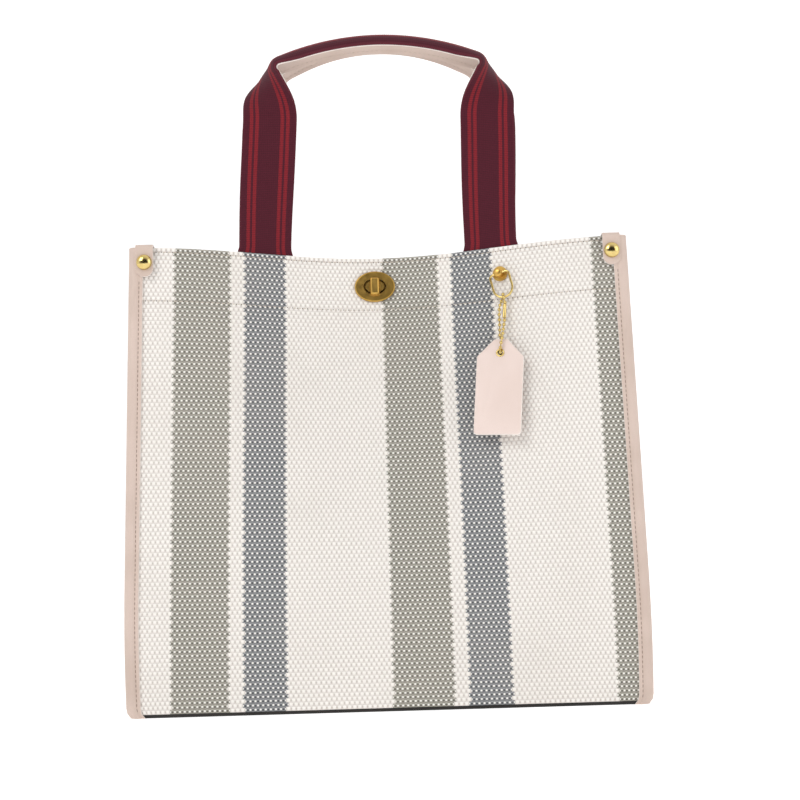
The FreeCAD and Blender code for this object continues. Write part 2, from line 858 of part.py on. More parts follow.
def rivet_cap(name, depth, bore="sizes.shank_radius + sizes.turn_play"):
    """The cap that holds a shank's inner end, its face that far behind the canvas."""
    disc = primitive(
        "Part::Cylinder", name + "_disc", Radius="sizes.rivet_cap_radius", Height="sizes.rivet_cap_thick"
    )
    hole = primitive("Part::Cylinder", name + "_bore", Radius=bore, Height="3 * sizes.rivet_cap_thick")
    for item, extra in ((disc, "0"), (hole, "sizes.rivet_cap_thick")):
        raised(item, f"-({depth}) - sizes.rivet_cap_thick - {extra}")
    cap = doc.addObject("Part::Cut", name)
    cap.Base = disc
    cap.Tool = hole
    return cap


facing_back = "sizes.canvas_thick + sizes.webbing_thick + sizes.facing_thick + 4 * sizes.ply_gap"
tab_back = f"{facing_back} + sizes.tab_ease + sizes.tab_thick"
for name, place in corner_places.items():
    corner_tab(f"{name}_tab", place)
    keep(corner_stud(f"{name}_stud"), f"{name}_stud", place)
    keep(rivet_cap(f"{name}_stud_cap", tab_back), f"{name}_stud_cap", place)


# ---------------------------------------------------------------- turnlock
lock_place = Placement(Vector(lock_x, lock_y, lock_z), LOCK_TURN)
front_inside = wall_y(lock_x, lock_z) + FACING_DEPTH + FACING + 3 * GAP
back_inside = -front_inside
boss_reach = 0.4


def bevelled(name, disc, top):
    """Rounds an oval plate's visible rim."""
    doc.recompute()
    rims = [
        number
        for number, edge in enumerate(disc.Shape.Edges, start=1)
        if abs(edge.BoundBox.ZMin - top) < 0.01 and edge.BoundBox.ZLength < 0.01
    ]
    soft = doc.addObject("Part::Fillet", name)
    soft.Base = disc
    soft.Edges = [(number, size("lock_bevel"), size("lock_bevel")) for number in rims]
    return soft


plate = oval("lock_plate_disc", "sizes.lock_width", "sizes.lock_depth", "sizes.lock_thick")
plate = bevelled("lock_plate_bevelled", plate, size("lock_thick"))
opening = oval(
    "lock_plate_opening", "sizes.lock_opening_width", "sizes.lock_opening_depth", "3 * sizes.lock_thick", "-1"
)
cut("turnlock_plate", plate, opening, lock_place)

backing = oval("lock_backing_disc", "sizes.lock_width", "sizes.lock_depth", "sizes.lock_backing")
gap_hole = oval(
    "lock_backing_opening",
    "sizes.lock_opening_width",
    "sizes.lock_opening_depth",
    "3 * sizes.lock_backing",
    "-sizes.lock_backing",
)
backing_place = Placement(Vector(lock_x, front_inside + size("lock_backing"), lock_z), LOCK_TURN)
cut("turnlock_backing", backing, gap_hole, backing_place)

# the toggle's base stands on the back facing and reaches through the front plies
boss_length = back_inside - lock_y + size("lock_thick") - boss_reach
base_gap_width = "(sizes.lock_opening_width + sizes.lock_width) / 2"
base_gap_depth = "(sizes.lock_opening_depth + sizes.lock_depth) / 2"
foot_disc = oval("lock_foot", base_gap_width, base_gap_depth, "sizes.lock_backing")
boss = oval("lock_boss", "sizes.lock_boss_width", "sizes.lock_boss_depth", str(boss_length))
stem_hole = primitive("Part::Cylinder", "lock_stem_hole", Radius="sizes.stem_radius + sizes.turn_play")
stem_hole.Height = 3 * boss_length
raised(stem_hole, str(-boss_length))
base_solid = doc.addObject("Part::MultiFuse", "lock_base_solid")
base_solid.Shapes = [foot_disc, boss]
base_place = Placement(Vector(lock_x, back_inside - GAP, lock_z), LOCK_TURN)
cut("turnlock_base", base_solid, stem_hole, base_place)


def toggle():
    """The turning bar, upright when locked, on a stem that runs back through the base."""
    body = doc.addObject("PartDesign::Body", "turnlock_toggle")
    bar = sketch_on(body, "toggle_bar")
    rectangle(bar, "sizes.toggle_width", "sizes.toggle_length")
    block = pad(body, bar, "toggle_block", "sizes.toggle_thick")
    doc.recompute()
    shape = block.Shape
    top = shape.BoundBox.ZMax
    edges = [
        f"Edge{number}"
        for number, edge in enumerate(shape.Edges, start=1)
        if edge.CenterOfMass.z > top / 4
    ]
    soft = body.newObject("PartDesign::Fillet", "toggle_rounding")
    soft.Base = (block, edges)
    soft.setExpression("Radius", "sizes.toggle_round")
    shank = sketch_on(body, "toggle_shank")
    circle(shank, "sizes.stem_radius")
    stem = pad(body, shank, "toggle_stem", str(stem_length))
    stem.Reversed = True
    return keep(body, "turnlock_toggle", Placement(Vector(lock_x, toggle_y, lock_z), LOCK_TURN))


toggle_play = 0.3
toggle_y = back_inside - GAP - boss_length - toggle_play
back_outside = -wall_y(lock_x, lock_z)
stem_length = back_outside + 5 * GAP - toggle_y + size("rivet_cap_thick")
toggle()
stem_cap = rivet_cap("turnlock_cap", "0", "sizes.stem_radius + 2 * sizes.turn_play")
cap_seat = back_outside + 5 * GAP
keep(stem_cap, "turnlock_cap", Placement(Vector(lock_x, cap_seat, lock_z), LOCK_TURN))

# ---------------------------------------------------------------- swivel post and shackle
pin_radius = size("shackle_wire") / 2
rosette = primitive("Part::Cylinder", "rosette_disc", Radius="sizes.rosette_radius", Height="sizes.rosette_thick")
rosette_hole = primitive(
    "Part::Cylinder",
    "rosette_hole",
    Radius="sizes.shank_radius + sizes.turn_play",
    Height="3 * sizes.rosette_thick",
)
raised(rosette_hole, "-sizes.rosette_thick")
rosette_place = on_wall(post_x, post_z, GAP + 0.2)
cut("tag_post_rosette", rosette, rosette_hole, rosette_place)

post_back = f"{facing_back} + 4 * sizes.ply_gap"
post_barrel = primitive(
    "Part::Cylinder",
    "post_barrel",
    Radius="sizes.post_radius",
    Height="sizes.post_length - sizes.rosette_thick - 2 * sizes.ply_gap",
)
raised(post_barrel, "sizes.rosette_thick + 5 * sizes.ply_gap")
post_dome = primitive(
    "Part::Ellipsoid", "post_dome", Radius1="sizes.post_radius / 3", Radius2="sizes.post_radius"
)
post_dome.setExpression("Radius3", "sizes.post_radius")
post_dome.Angle1 = 0
raised(post_dome, "sizes.post_length + 3 * sizes.ply_gap")
post_shank = primitive(
    "Part::Cylinder",
    "post_shank",
    Radius="sizes.shank_radius",
    Height=f"{post_back} + sizes.post_length + sizes.rivet_cap_thick",
)
raised(post_shank, f"-({post_back} + sizes.rivet_cap_thick)")
post_solid = doc.addObject("Part::MultiFuse", "post_solid")
post_solid.Shapes = [post_barrel, post_dome, post_shank]
pin_hole = primitive(
    "Part::Cylinder", "post_pin_hole", Radius="sizes.shackle_wire / 2 + sizes.turn_play", Height="60"
)
tilt_turn = Rotation(Vector(0, 0, 1), size("shackle_tilt"))
pin_turn = tilt_turn.multiply(Rotation(Vector(0, 1, 0), 90))
pin_hole.Placement = Placement(pin_turn.multVec(Vector(0, 0, -30)) + Vector(0, 0, size("pin_height")), pin_turn)
cut("tag_post", post_solid, pin_hole, post_place)
keep(rivet_cap("tag_post_cap", post_back), "tag_post_cap", post_place)


def shackle():
    """A bow of wire whose two turned-in ends are the pins that sit in the post."""
    bow = size("shackle_bow")
    leg = size("shackle_leg")
    corner = size("shackle_corner")
    pin_gap = 0.3
    turn = corner * math.sqrt(0.5)
    body = doc.addObject("PartDesign::Body", "tag_shackle")
    path = sketch_on(body, "shackle_path")

    def bend(sign):
        return Part.Arc(
            Vector(sign * (bow - corner), 0, 0),
            Vector(sign * (bow - corner + turn), -corner + turn, 0),
            Vector(sign * bow, -corner, 0),
        )

    runs = [
        Part.LineSegment(Vector(pin_gap, 0, 0), Vector(bow - corner, 0, 0)),
        bend(1),
        Part.LineSegment(Vector(bow, -corner, 0), Vector(bow, -leg, 0)),
        Part.Arc(Vector(bow, -leg, 0), Vector(0, -leg - bow, 0), Vector(-bow, -leg, 0)),
        Part.LineSegment(Vector(-bow, -leg, 0), Vector(-bow, -corner, 0)),
        bend(-1),
        Part.LineSegment(Vector(-bow + corner, 0, 0), Vector(-pin_gap, 0, 0)),
    ]
    for run in runs:
        number = path.addGeometry(run)
        path.addConstraint(Sketcher.Constraint("Block", number))
    section = sketch_on(body, "shackle_section", "YZ_Plane")
    section.AttachmentOffset = Placement(Vector(0, 0, pin_gap), Rotation())
    circle(section, "sizes.shackle_wire / 2")
    wire = body.newObject("PartDesign::AdditivePipe", "shackle_wire")
    wire.Profile = section
    wire.Spine = (path, [f"Edge{number}" for number in range(1, len(runs) + 1)])
    place = post_place.multiply(Placement(Vector(0, 0, size("pin_height")), tilt_turn))
    return keep(body, "tag_shackle", place)


shackle()

# ---------------------------------------------------------------- ball chain, connector and hang tag
# the chain hangs from the lowest point of the tilted bow, in the post's own frame
tilt = math.radians(size("shackle_tilt"))
hang_x = size("shackle_leg") * math.sin(tilt)
hang_y = -size("shackle_leg") * math.cos(tilt) - size("shackle_bow")
chain_turn = Rotation(Vector(1, 0, 0), -size("chain_lean"))
chain_place = post_place.multiply(Placement(Vector(hang_x, hang_y, size("pin_height")), chain_turn))
eyelet_y = -size("chain_drop")
wire_clear = pin_radius + size("bead_radius") + GAP
tag_clear = size("tag_thick") / 2 + size("eyelet_lip") + size("bead_radius") + GAP
side_gap = size("strand_gap") / 2


def chain_loop():
    """The chain's line: over the shackle's wire, down one strand, through the eyelet, and back."""
    above_tag = eyelet_y + size("eyelet_down") + size("bead_radius")
    half_loop = [
        Vector(0.5 * side_gap, 0.3 * wire_clear, wire_clear),
        Vector(side_gap, -wire_clear - 2.0, 0.6),
        Vector(side_gap, eyelet_y / 2, 0.3 * tag_clear),
        Vector(side_gap, above_tag, tag_clear),
        Vector(0.4 * side_gap, eyelet_y + 2.5, tag_clear + GAP),
    ]
    back = [Vector(-point.x, point.y, -point.z) for point in reversed(half_loop)]
    over = Vector(0, wire_clear, 0)
    under = Vector(0, eyelet_y - size("eyelet_bore") / 4, 0)
    curve = Part.BSplineCurve()
    curve.interpolate([over, *half_loop, under, *back], PeriodicFlag=True)
    return curve


connector_reach = size("connector_length") / 2
connector_middle = Vector(side_gap, -size("connector_down") - connector_reach, 0.2 * tag_clear)


def bead_centres():
    """Evenly spaced places for the balls, on the part of the loop that the connector leaves."""
    line = chain_loop().toShape().discretize(800)[:-1]
    clear = connector_reach + size("bead_radius") + GAP
    covered = [point.x > 0 and abs(point.y - connector_middle.y) <= clear for point in line]
    start = max(number for number in range(len(line)) if covered[number]) + 1
    free = line[start:] + line[: covered.index(True)]
    lengths = [0.0]
    for first, second in zip(free, free[1:]):
        lengths.append(lengths[-1] + (second - first).Length)
    count = round(lengths[-1] / size("bead_pitch"))
    centres = []
    for number in range(count + 1):
        target = lengths[-1] * number / count
        nearest = min(range(len(free)), key=lambda place: abs(lengths[place] - target))
        centres.append(free[nearest])
    return centres


def bead_chain():
    """Balls strung on short links, left open where the connector closes the loop."""
    strung = bead_centres()
    shape = Part.makeSphere(size("bead_radius"), strung[0])
    for first, second in zip(strung, strung[1:]):
        way = second - first
        link = Part.makeCylinder(size("bead_link_radius"), way.Length, first, way)
        shape = shape.fuse([link, Part.makeSphere(size("bead_radius"), second)])
    return shape


shaped("tag_bead_chain", bead_chain(), chain_place)
sleeve = Part.makeCylinder(
    size("connector_radius"),
    size("connector_length"),
    connector_middle - Vector(0, connector_reach, 0),
    Vector(0, 1, 0),
)
sleeve = sleeve.makeFillet(size("connector_radius") / 3, [edge for edge in sleeve.Edges if edge.Closed])
shaped("tag_chain_connector", sleeve, chain_place)
tag_turn = Rotation(Vector(0, 1, 0), size("tag_turn"))
tag_place = chain_place.multiply(Placement(Vector(0, eyelet_y, 0), tag_turn))


def hang_tag():
    """A leather tag with a gabled top, hung by an eyelet; the eyelet's middle is the local origin."""
    body = doc.addObject("PartDesign::Body", "hang_tag")
    face = sketch_on(body, "tag_face")
    half = size("tag_width") / 2
    down = size("eyelet_down")
    low = down - size("tag_length")
    shoulder = down - size("tag_shoulder")
    flat = size("tag_point") / 2
    corners = [(-half, low), (half, low), (half, shoulder), (flat, down), (-flat, down), (-half, shoulder)]
    first = outline(face, corners)
    face.addConstraint(Sketcher.Constraint("Vertical", first + 1))
    for left, left_end, right, right_end in ((0, 1, 0, 2), (4, 2, 1, 2), (3, 2, 3, 1)):
        pair = (first + left, left_end, first + right, right_end)
        face.addConstraint(Sketcher.Constraint("Symmetric", *pair, -2))
    measure(face, "width", "sizes.tag_width", "DistanceX", first, 1, first, 2, 2 * half)
    measure(face, "above", "sizes.eyelet_down", "DistanceY", -1, 1, first + 3, 1, down)
    measure(face, "below", "sizes.tag_length - sizes.eyelet_down", "DistanceY", first, 1, -1, 1, -low)
    measure(face, "gable", "sizes.tag_shoulder", "DistanceY", first + 2, 1, first + 3, 1, down - shoulder)
    measure(face, "point", "sizes.tag_point", "DistanceX", first + 3, 2, first + 3, 1, 2 * flat)
    slab = pad(body, face, "tag_slab", "sizes.tag_thick")
    slab.Midplane = True
    doc.recompute()
    upright = [
        f"Edge{number}"
        for number, edge in enumerate(slab.Shape.Edges, start=1)
        if abs(edge.tangentAt(edge.FirstParameter).z) > 0.99
    ]
    soft = body.newObject("PartDesign::Fillet", "tag_corners")
    soft.Base = (slab, upright)
    soft.setExpression("Radius", "sizes.tag_corner")
    hole = sketch_on(body, "tag_hole")
    circle(hole, "sizes.eyelet_radius - sizes.eyelet_lip")
    pocket(body, hole, "tag_hole_pocket")
    return keep(body, "hang_tag", tag_place)


def eyelet():
    """A brass ring set in the tag: a barrel with a lip on each face."""
    half = size("tag_thick") / 2
    lip = size("eyelet_lip")
    barrel = Part.makeCylinder(
        size("eyelet_radius") - lip - GAP / 2, 2 * (half + lip), Vector(0, 0, -half - lip)
    )
    rings = [Part.makeCylinder(size("eyelet_radius"), lip - GAP / 2, Vector(0, 0, half + GAP / 2))]
    rings.append(Part.makeCylinder(size("eyelet_radius"), lip - GAP / 2, Vector(0, 0, -half - lip)))
    bore = Part.makeCylinder(size("eyelet_bore"), 4 * half, Vector(0, 0, -2 * half))
    return barrel.fuse(rings).cut(bore)


hang_tag()
shaped("tag_eyelet", eyelet(), tag_place)

# ---------------------------------------------------------------- checks, then one file for each sub-part
doc.recompute()
for item in doc.Objects:
    faults = [state for state in item.State if state in ("Invalid", "Error")]
    if faults:
        raise RuntimeError(f"{item.Label} did not recompute: {faults}")
for label, item in pieces.items():
    if item.Shape.isNull() or not item.Shape.isValid():
        raise RuntimeError(f"{label} is not a valid shape")
    if item.Shape.Volume <= 0 or not item.Shape.Solids:
        raise RuntimeError(f"{label} holds no solid")

os.makedirs("parts", exist_ok=True)
for label, item in pieces.items():
    item.Shape.exportStep(os.path.join("parts", label + ".step"))
print(len(pieces), "sub-parts written")
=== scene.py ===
import math

import bmesh
import bpy
from mathutils import Matrix, Vector, noise


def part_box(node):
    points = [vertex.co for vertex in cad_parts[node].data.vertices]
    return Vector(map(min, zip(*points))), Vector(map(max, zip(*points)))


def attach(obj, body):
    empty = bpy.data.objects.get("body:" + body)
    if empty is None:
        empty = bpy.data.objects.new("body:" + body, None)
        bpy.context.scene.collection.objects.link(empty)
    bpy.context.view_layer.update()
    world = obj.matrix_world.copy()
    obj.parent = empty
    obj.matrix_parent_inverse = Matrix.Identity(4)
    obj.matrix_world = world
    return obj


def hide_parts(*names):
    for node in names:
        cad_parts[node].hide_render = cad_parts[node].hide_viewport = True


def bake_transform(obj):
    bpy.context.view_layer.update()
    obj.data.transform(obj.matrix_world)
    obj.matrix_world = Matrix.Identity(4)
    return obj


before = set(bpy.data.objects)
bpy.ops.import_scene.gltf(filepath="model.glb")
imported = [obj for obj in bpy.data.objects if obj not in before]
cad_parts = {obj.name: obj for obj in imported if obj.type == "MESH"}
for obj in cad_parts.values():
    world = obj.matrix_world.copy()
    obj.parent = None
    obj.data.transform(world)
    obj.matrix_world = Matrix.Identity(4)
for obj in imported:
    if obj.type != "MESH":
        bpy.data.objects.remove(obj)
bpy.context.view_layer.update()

# An upright shopping tote, in metres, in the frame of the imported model: +X to the right as seen from the
# front, +Y to the back, +Z up. The sections follow the bag as it is put together, from base to hang tag.


# ---------------------------------------------------------------- base
# The base is a flat piece of black grained leather, glued over a stiff grey board and turned up by its own
# thickness all round. The canvas and the gussets are sewn down onto it, so only its rim shows.
base_reach = 0.1685
base_rim = 0.0023
base_corner = 0.008
base_round = 0.0008
half_base = -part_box("left_gusset")[0].x
half_top = 0.171
deep_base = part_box("base_panel")[1].y
deep_top = 0.0485
wall_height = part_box("left_gusset")[1].z


def dye(red, green, blue):
    """A colour card's red, green and blue, from 0 to 255, as the light that the shader works in."""
    shares = [part / 255 for part in (red, green, blue)]
    return (*[part / 12.92 if part <= 0.04045 else ((part + 0.055) / 1.055) ** 2.4 for part in shares], 1.0)


class Value:
    """A shader node's output. Arithmetic on it adds the Math node that works the answer out."""

    def __init__(self, finish, socket):
        self.finish = finish
        self.socket = socket

    def maths(self, operation, *inputs):
        return self.finish.node("ShaderNodeMath", inputs, operation=operation)

    def __add__(self, other):
        return self.maths("ADD", self, other)

    def __sub__(self, other):
        return self.maths("SUBTRACT", self, other)

    def __rsub__(self, other):
        return self.maths("SUBTRACT", other, self)

    def __mul__(self, other):
        return self.maths("MULTIPLY", self, other)

    def __pow__(self, other):
        return self.maths("POWER", self, other)

    def __mod__(self, other):
        return self.maths("FLOORED_MODULO", self, other)

    def __abs__(self):
        return self.maths("ABSOLUTE", self)

    def __floor__(self):
        return self.maths("FLOOR", self)

    def __lt__(self, other):
        return self.maths("LESS_THAN", self, other)

    def __gt__(self, other):
        return self.maths("GREATER_THAN", self, other)


class Finish:
    """One procedural material, built round its Principled shader."""

    def __init__(self, name, **constants):
        self.material = bpy.data.materials.new(name)
        self.material.use_nodes = True
        self.tree = self.material.node_tree
        self.shader = self.tree.nodes["Principled BSDF"]
        self.wear(**constants)

    def feed(self, socket, value):
        if isinstance(value, Value):
            self.tree.links.new(value.socket, socket)
        else:
            socket.default_value = value

    def node(self, kind, inputs=(), output=0, **settings):
        """Adds a node: its settings first, then the value or link of each input, by order or by name."""
        added = self.tree.nodes.new(kind)
        for setting, choice in settings.items():
            setattr(added, setting, choice)
        for place, value in inputs.items() if isinstance(inputs, dict) else enumerate(inputs):
            self.feed(added.inputs[place], value)
        return Value(self, added.outputs[output])

    def wear(self, **inputs):
        """Sets or links the shader's own sockets."""
        for name, value in inputs.items():
            self.feed(self.shader.inputs[name.replace("_", " ")], value)
        return self.material

    def blend(self, mask, first, second):
        """The first colour where the mask is 0, the second where it is 1."""
        return self.node("ShaderNodeMix", {0: mask, 6: first, 7: second}, output=2, data_type="RGBA")

    def step(self, value, start, end):
        """Nought up to start, one from end on, and smooth between."""
        inputs = {"Value": value, "From Min": start, "From Max": end}
        return self.node("ShaderNodeMapRange", inputs, interpolation_type="SMOOTHSTEP")

    def noise(self, scale, detail=2.0, vector=None):
        place = vector if vector is not None else self.node("ShaderNodeTexCoord", output="Object")
        return self.node("ShaderNodeTexNoise", {"Vector": place, "Scale": scale, "Detail": detail})

    def bump(self, height, distance):
        return self.node("ShaderNodeBump", {"Height": height, "Distance": distance})


def leather_finish(name, colour, shade, grain=900.0, roughness=0.5):
    """Smooth split leather: fine cells of grain, with a slow drift of colour over the hide."""
    hide = Finish(name, Roughness=roughness, Specular_IOR_Level=0.4)
    place = hide.node("ShaderNodeTexCoord", output="Object")
    cells = hide.node("ShaderNodeTexVoronoi", {"Vector": place, "Scale": grain}, feature="DISTANCE_TO_EDGE")
    pores = hide.step(cells, 0.0, 0.18)
    drift = hide.step(hide.noise(22.0, 3.0), 0.35, 0.7)
    tone = hide.blend(drift, colour, shade)
    tone = hide.blend((1.0 - pores) * 0.35, tone, shade)
    height = pores * 0.6 + hide.noise(grain * 0.4, 4.0) * 0.6
    return hide.wear(
        Base_Color=tone,
        Roughness=hide.noise(60.0, 3.0) * 0.22 + (roughness - 0.11),
        Normal=hide.bump(height, 0.00007),
    )


def alone(piece):
    """Selects one piece and nothing else."""
    bpy.ops.object.select_all(action="DESELECT")
    piece.select_set(True)
    bpy.context.view_layer.objects.active = piece


def modify(piece, kind, **settings):
    """Adds a modifier to a piece and applies it."""
    alone(piece)
    modifier = piece.modifiers.new(kind.title(), kind)
    for setting, value in settings.items():
        setattr(modifier, setting, value)
    bpy.ops.object.modifier_apply(modifier=modifier.name)


def smooth(piece, degrees=40):
    alone(piece)
    bpy.ops.object.shade_smooth_by_angle(angle=math.radians(degrees))


def dress(piece, *finishes):
    piece.data.materials.clear()
    for finish in finishes:
        piece.data.materials.append(finish)


def fit(piece, body, slot, *nodes):
    """Fixes a finished piece to its body, and hides the nodes it is the finished form of."""
    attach(piece, body)
    if nodes:
        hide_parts(*nodes)


black_leather = leather_finish("black_base_leather", dye(37, 33, 30), dye(24, 22, 20), grain=1400.0)
bpy.ops.object.select_all(action="DESELECT")
bpy.ops.mesh.primitive_cube_add(
    size=1, location=(0, 0, base_rim / 2), scale=(2 * base_reach, 2 * deep_base, base_rim)
)
base = bpy.context.object
base.name = "base_leather"
bpy.ops.object.transform_apply(location=True, rotation=True, scale=True)
bpy.ops.object.mode_set(mode="EDIT")
edit = bmesh.from_edit_mesh(base.data)
for edge in edit.edges:
    edge.select_set(abs(edge.verts[0].co.z - edge.verts[1].co.z) > base_rim / 2)
bmesh.update_edit_mesh(base.data)
bpy.ops.mesh.bevel(offset=base_corner, segments=8)
bpy.ops.object.mode_set(mode="OBJECT")
modify(base, "BEVEL", width=base_round, segments=3, limit_method="ANGLE", angle_limit=math.radians(60))
smooth(base)
dress(base, black_leather)
fit(base, "bag", "black_leather", "base_panel")

board = Finish("grey_board", Roughness=0.9)
board_tone = board.blend(board.noise(400.0), dye(150, 146, 140), dye(120, 116, 110))
dress(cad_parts["base_board"], board.wear(Base_Color=board_tone))


# ---------------------------------------------------------------- canvas walls
# Front and back are one weight of basket-woven canvas, striped in sage and blue-grey on off-white. Each is
# drawn in at the middle of the mouth by the turnlock, stays flat at its corners, and has its top folded in.
mouth_gap = 0.012
closed_height = 0.296
mouth_dip = 0.0054
lap = 0.0102
lap_over = 0.0027
ply = 0.0001
canvas_thick = 0.0013
knots_across = 101
knots_up = 112
knot_relief = 0.00022
hem_depth = 0.037
hem_rows = (0.003, hem_depth)
stripe_start = 0.14707
stripe_repeat = 0.15029
sage_wide = 0.0392
slate_from = 0.0500
slate_to = 0.0781
tuck_height = 0.085
tuck_in = 0.0028
foot_height = 0.007
foot_in = 0.0035
strap_middle = 0.0795
strap_reach = 0.020
strap_fade = 0.005
pinch_in = 0.00095
pinch_depth = 0.007
thread_pull = 0.00045
pull_reach = 0.0013
# each fold in the front canvas: how far it sinks in, its two ends as (x, z), and its width
handled_folds = (
    (0.0017, (0.086, 0.262), (0.138, 0.150), 0.006),
    (0.0011, (0.100, 0.262), (0.150, 0.185), 0.006),
    (0.0009, (-0.052, 0.262), (-0.118, 0.170), 0.009),
)
lock_middle = (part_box("turnlock_plate")[0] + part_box("turnlock_plate")[1]) / 2


def mix(start, end, share):
    return start + (end - start) * share


def ease(value):
    """Nought to one with level ends."""
    value = min(max(value, 0.0), 1.0)
    return value * value * (3.0 - 2.0 * value)


def swell(value):
    """One in the middle, falling smoothly to nought at plus and minus one."""
    return 0.5 * (1.0 + math.cos(math.pi * min(max(value, -1.0), 1.0)))


def half_width(z):
    return mix(half_base, half_top, z / wall_height)


def half_depth(z):
    return mix(deep_base, deep_top, z / wall_height)


def wall(x, z):
    """Where the front canvas lies: flat at its corners, drawn in at the middle of the mouth."""
    share = min(z / closed_height, 1.0)
    drawn = share**3 * (4.0 - 3.0 * share)
    middle = -mix(2 * deep_base, mouth_gap, drawn) / 2
    return mix(-half_depth(z), middle, swell(x / half_width(z)))


def mouth_z(x):
    """The top edge, which sinks a little where the mouth is drawn in."""
    return wall_height - mouth_dip * swell(x / half_top)


def tuck(z):
    """How far the side seams turn in towards the base."""
    low = max(0.0, 1.0 - z / tuck_height)
    foot = max(0.0, 1.0 - z / foot_height)
    return tuck_in * low * low + foot_in * (1.0 - math.sqrt(1.0 - foot * foot))


def under_strap(x):
    """One where a handle's webbing comes up between the plies, nought elsewhere."""
    return 1.0 - ease((abs(abs(x) - strap_middle) - strap_reach) / strap_fade)


def pinch(x, down):
    """How far the two plies of the hem lean together at the top, where no webbing holds them apart."""
    return pinch_in * (1.0 - ease(down / pinch_depth)) * (1.0 - under_strap(x))


def pull(x, z):
    """The stitch rows draw the canvas in a little."""
    down = mouth_z(x) - z
    return sum(thread_pull * math.exp(-(((down - row) / pull_reach) ** 2)) for row in hem_rows)


def ridge(x, z, start, end, wide):
    """One along the line from start to end, falling away over the width on both sides and at the ends."""
    way = Vector(end) - Vector(start)
    along = (Vector((x, z)) - Vector(start)).dot(way) / way.length_squared
    away = (Vector((x, z)) - Vector(start) - along * way).length
    return math.exp(-((away / wide) ** 2)) * swell(2.0 * along - 1.0)


def dents(x, z):
    """Soft hollows and swells in the canvas of a bag that has been handled."""
    free = ease(z / 0.05) * ease((wall_height - 0.045 - z) / 0.05) * ease((0.150 - abs(x)) / 0.03)
    slow = 0.0011 * noise.noise(Vector((9 * x, 3.0, 7 * z)))
    slow += 0.0005 * noise.noise(Vector((30 * x, 9.0, 16 * z)))
    folds = sum(sunk * ridge(x, z, start, end, wide) for sunk, start, end, wide in handled_folds)
    return free * (slow + folds)


def knot(across, up):
    """How the weave stands proud: knots in rows, each row set over by half a knot."""
    row = math.floor(up)
    over = across + 0.5 * (row % 2)
    return math.cos(2 * math.pi * (over - 0.5)) * math.sin(math.pi * (up - row))


def new_grid(name, columns, rows):
    """A flat grid whose own map runs from 0 to 1 across and up."""
    bpy.ops.object.select_all(action="DESELECT")
    bpy.ops.mesh.primitive_grid_add(x_subdivisions=columns, y_subdivisions=rows, size=2)
    grid = bpy.context.object
    grid.name = name
    grid.data.name = name
    return grid


def shape(piece, place):
    """Moves every point of a flat grid to place(across, up), each from 0 to 1."""
    for point in piece.data.vertices:
        point.co = place((point.co.x + 1) / 2, (point.co.y + 1) / 2)
    piece.data.update()


def open_up(piece, inside):
    """Cuts away the faces whose middle is inside."""
    alone(piece)
    bpy.ops.object.mode_set(mode="EDIT")
    bpy.ops.mesh.select_all(action="DESELECT")
    edit = bmesh.from_edit_mesh(piece.data)
    for face in edit.faces:
        face.select_set(inside(face.calc_center_median()))
    bmesh.update_edit_mesh(piece.data)
    bpy.ops.mesh.delete(type="FACE")
    bpy.ops.object.mode_set(mode="OBJECT")


def in_lock(point):
    """Under the rim of the turnlock's plate, where the plies are cut out."""
    return math.hypot((point.x - lock_middle.x) / 0.0095, (point.z - lock_middle.z) / 0.0068) < 1.0


def canvas_half(z):
    return half_width(z) - lap + lap_over


def canvas_place(across, up):
    side = 2 * across - 1
    z = mix(base_rim, mouth_z(side * canvas_half(wall_height)), up)
    x = side * canvas_half(z) - tuck(z) * side**9
    relief = knot_relief * (0.4 - knot(across * knots_across, up * knots_up))
    down = mouth_z(x) - z
    return Vector((x, wall(x, z) + relief + dents(x, z) + pull(x, z) + pinch(x, down), z))


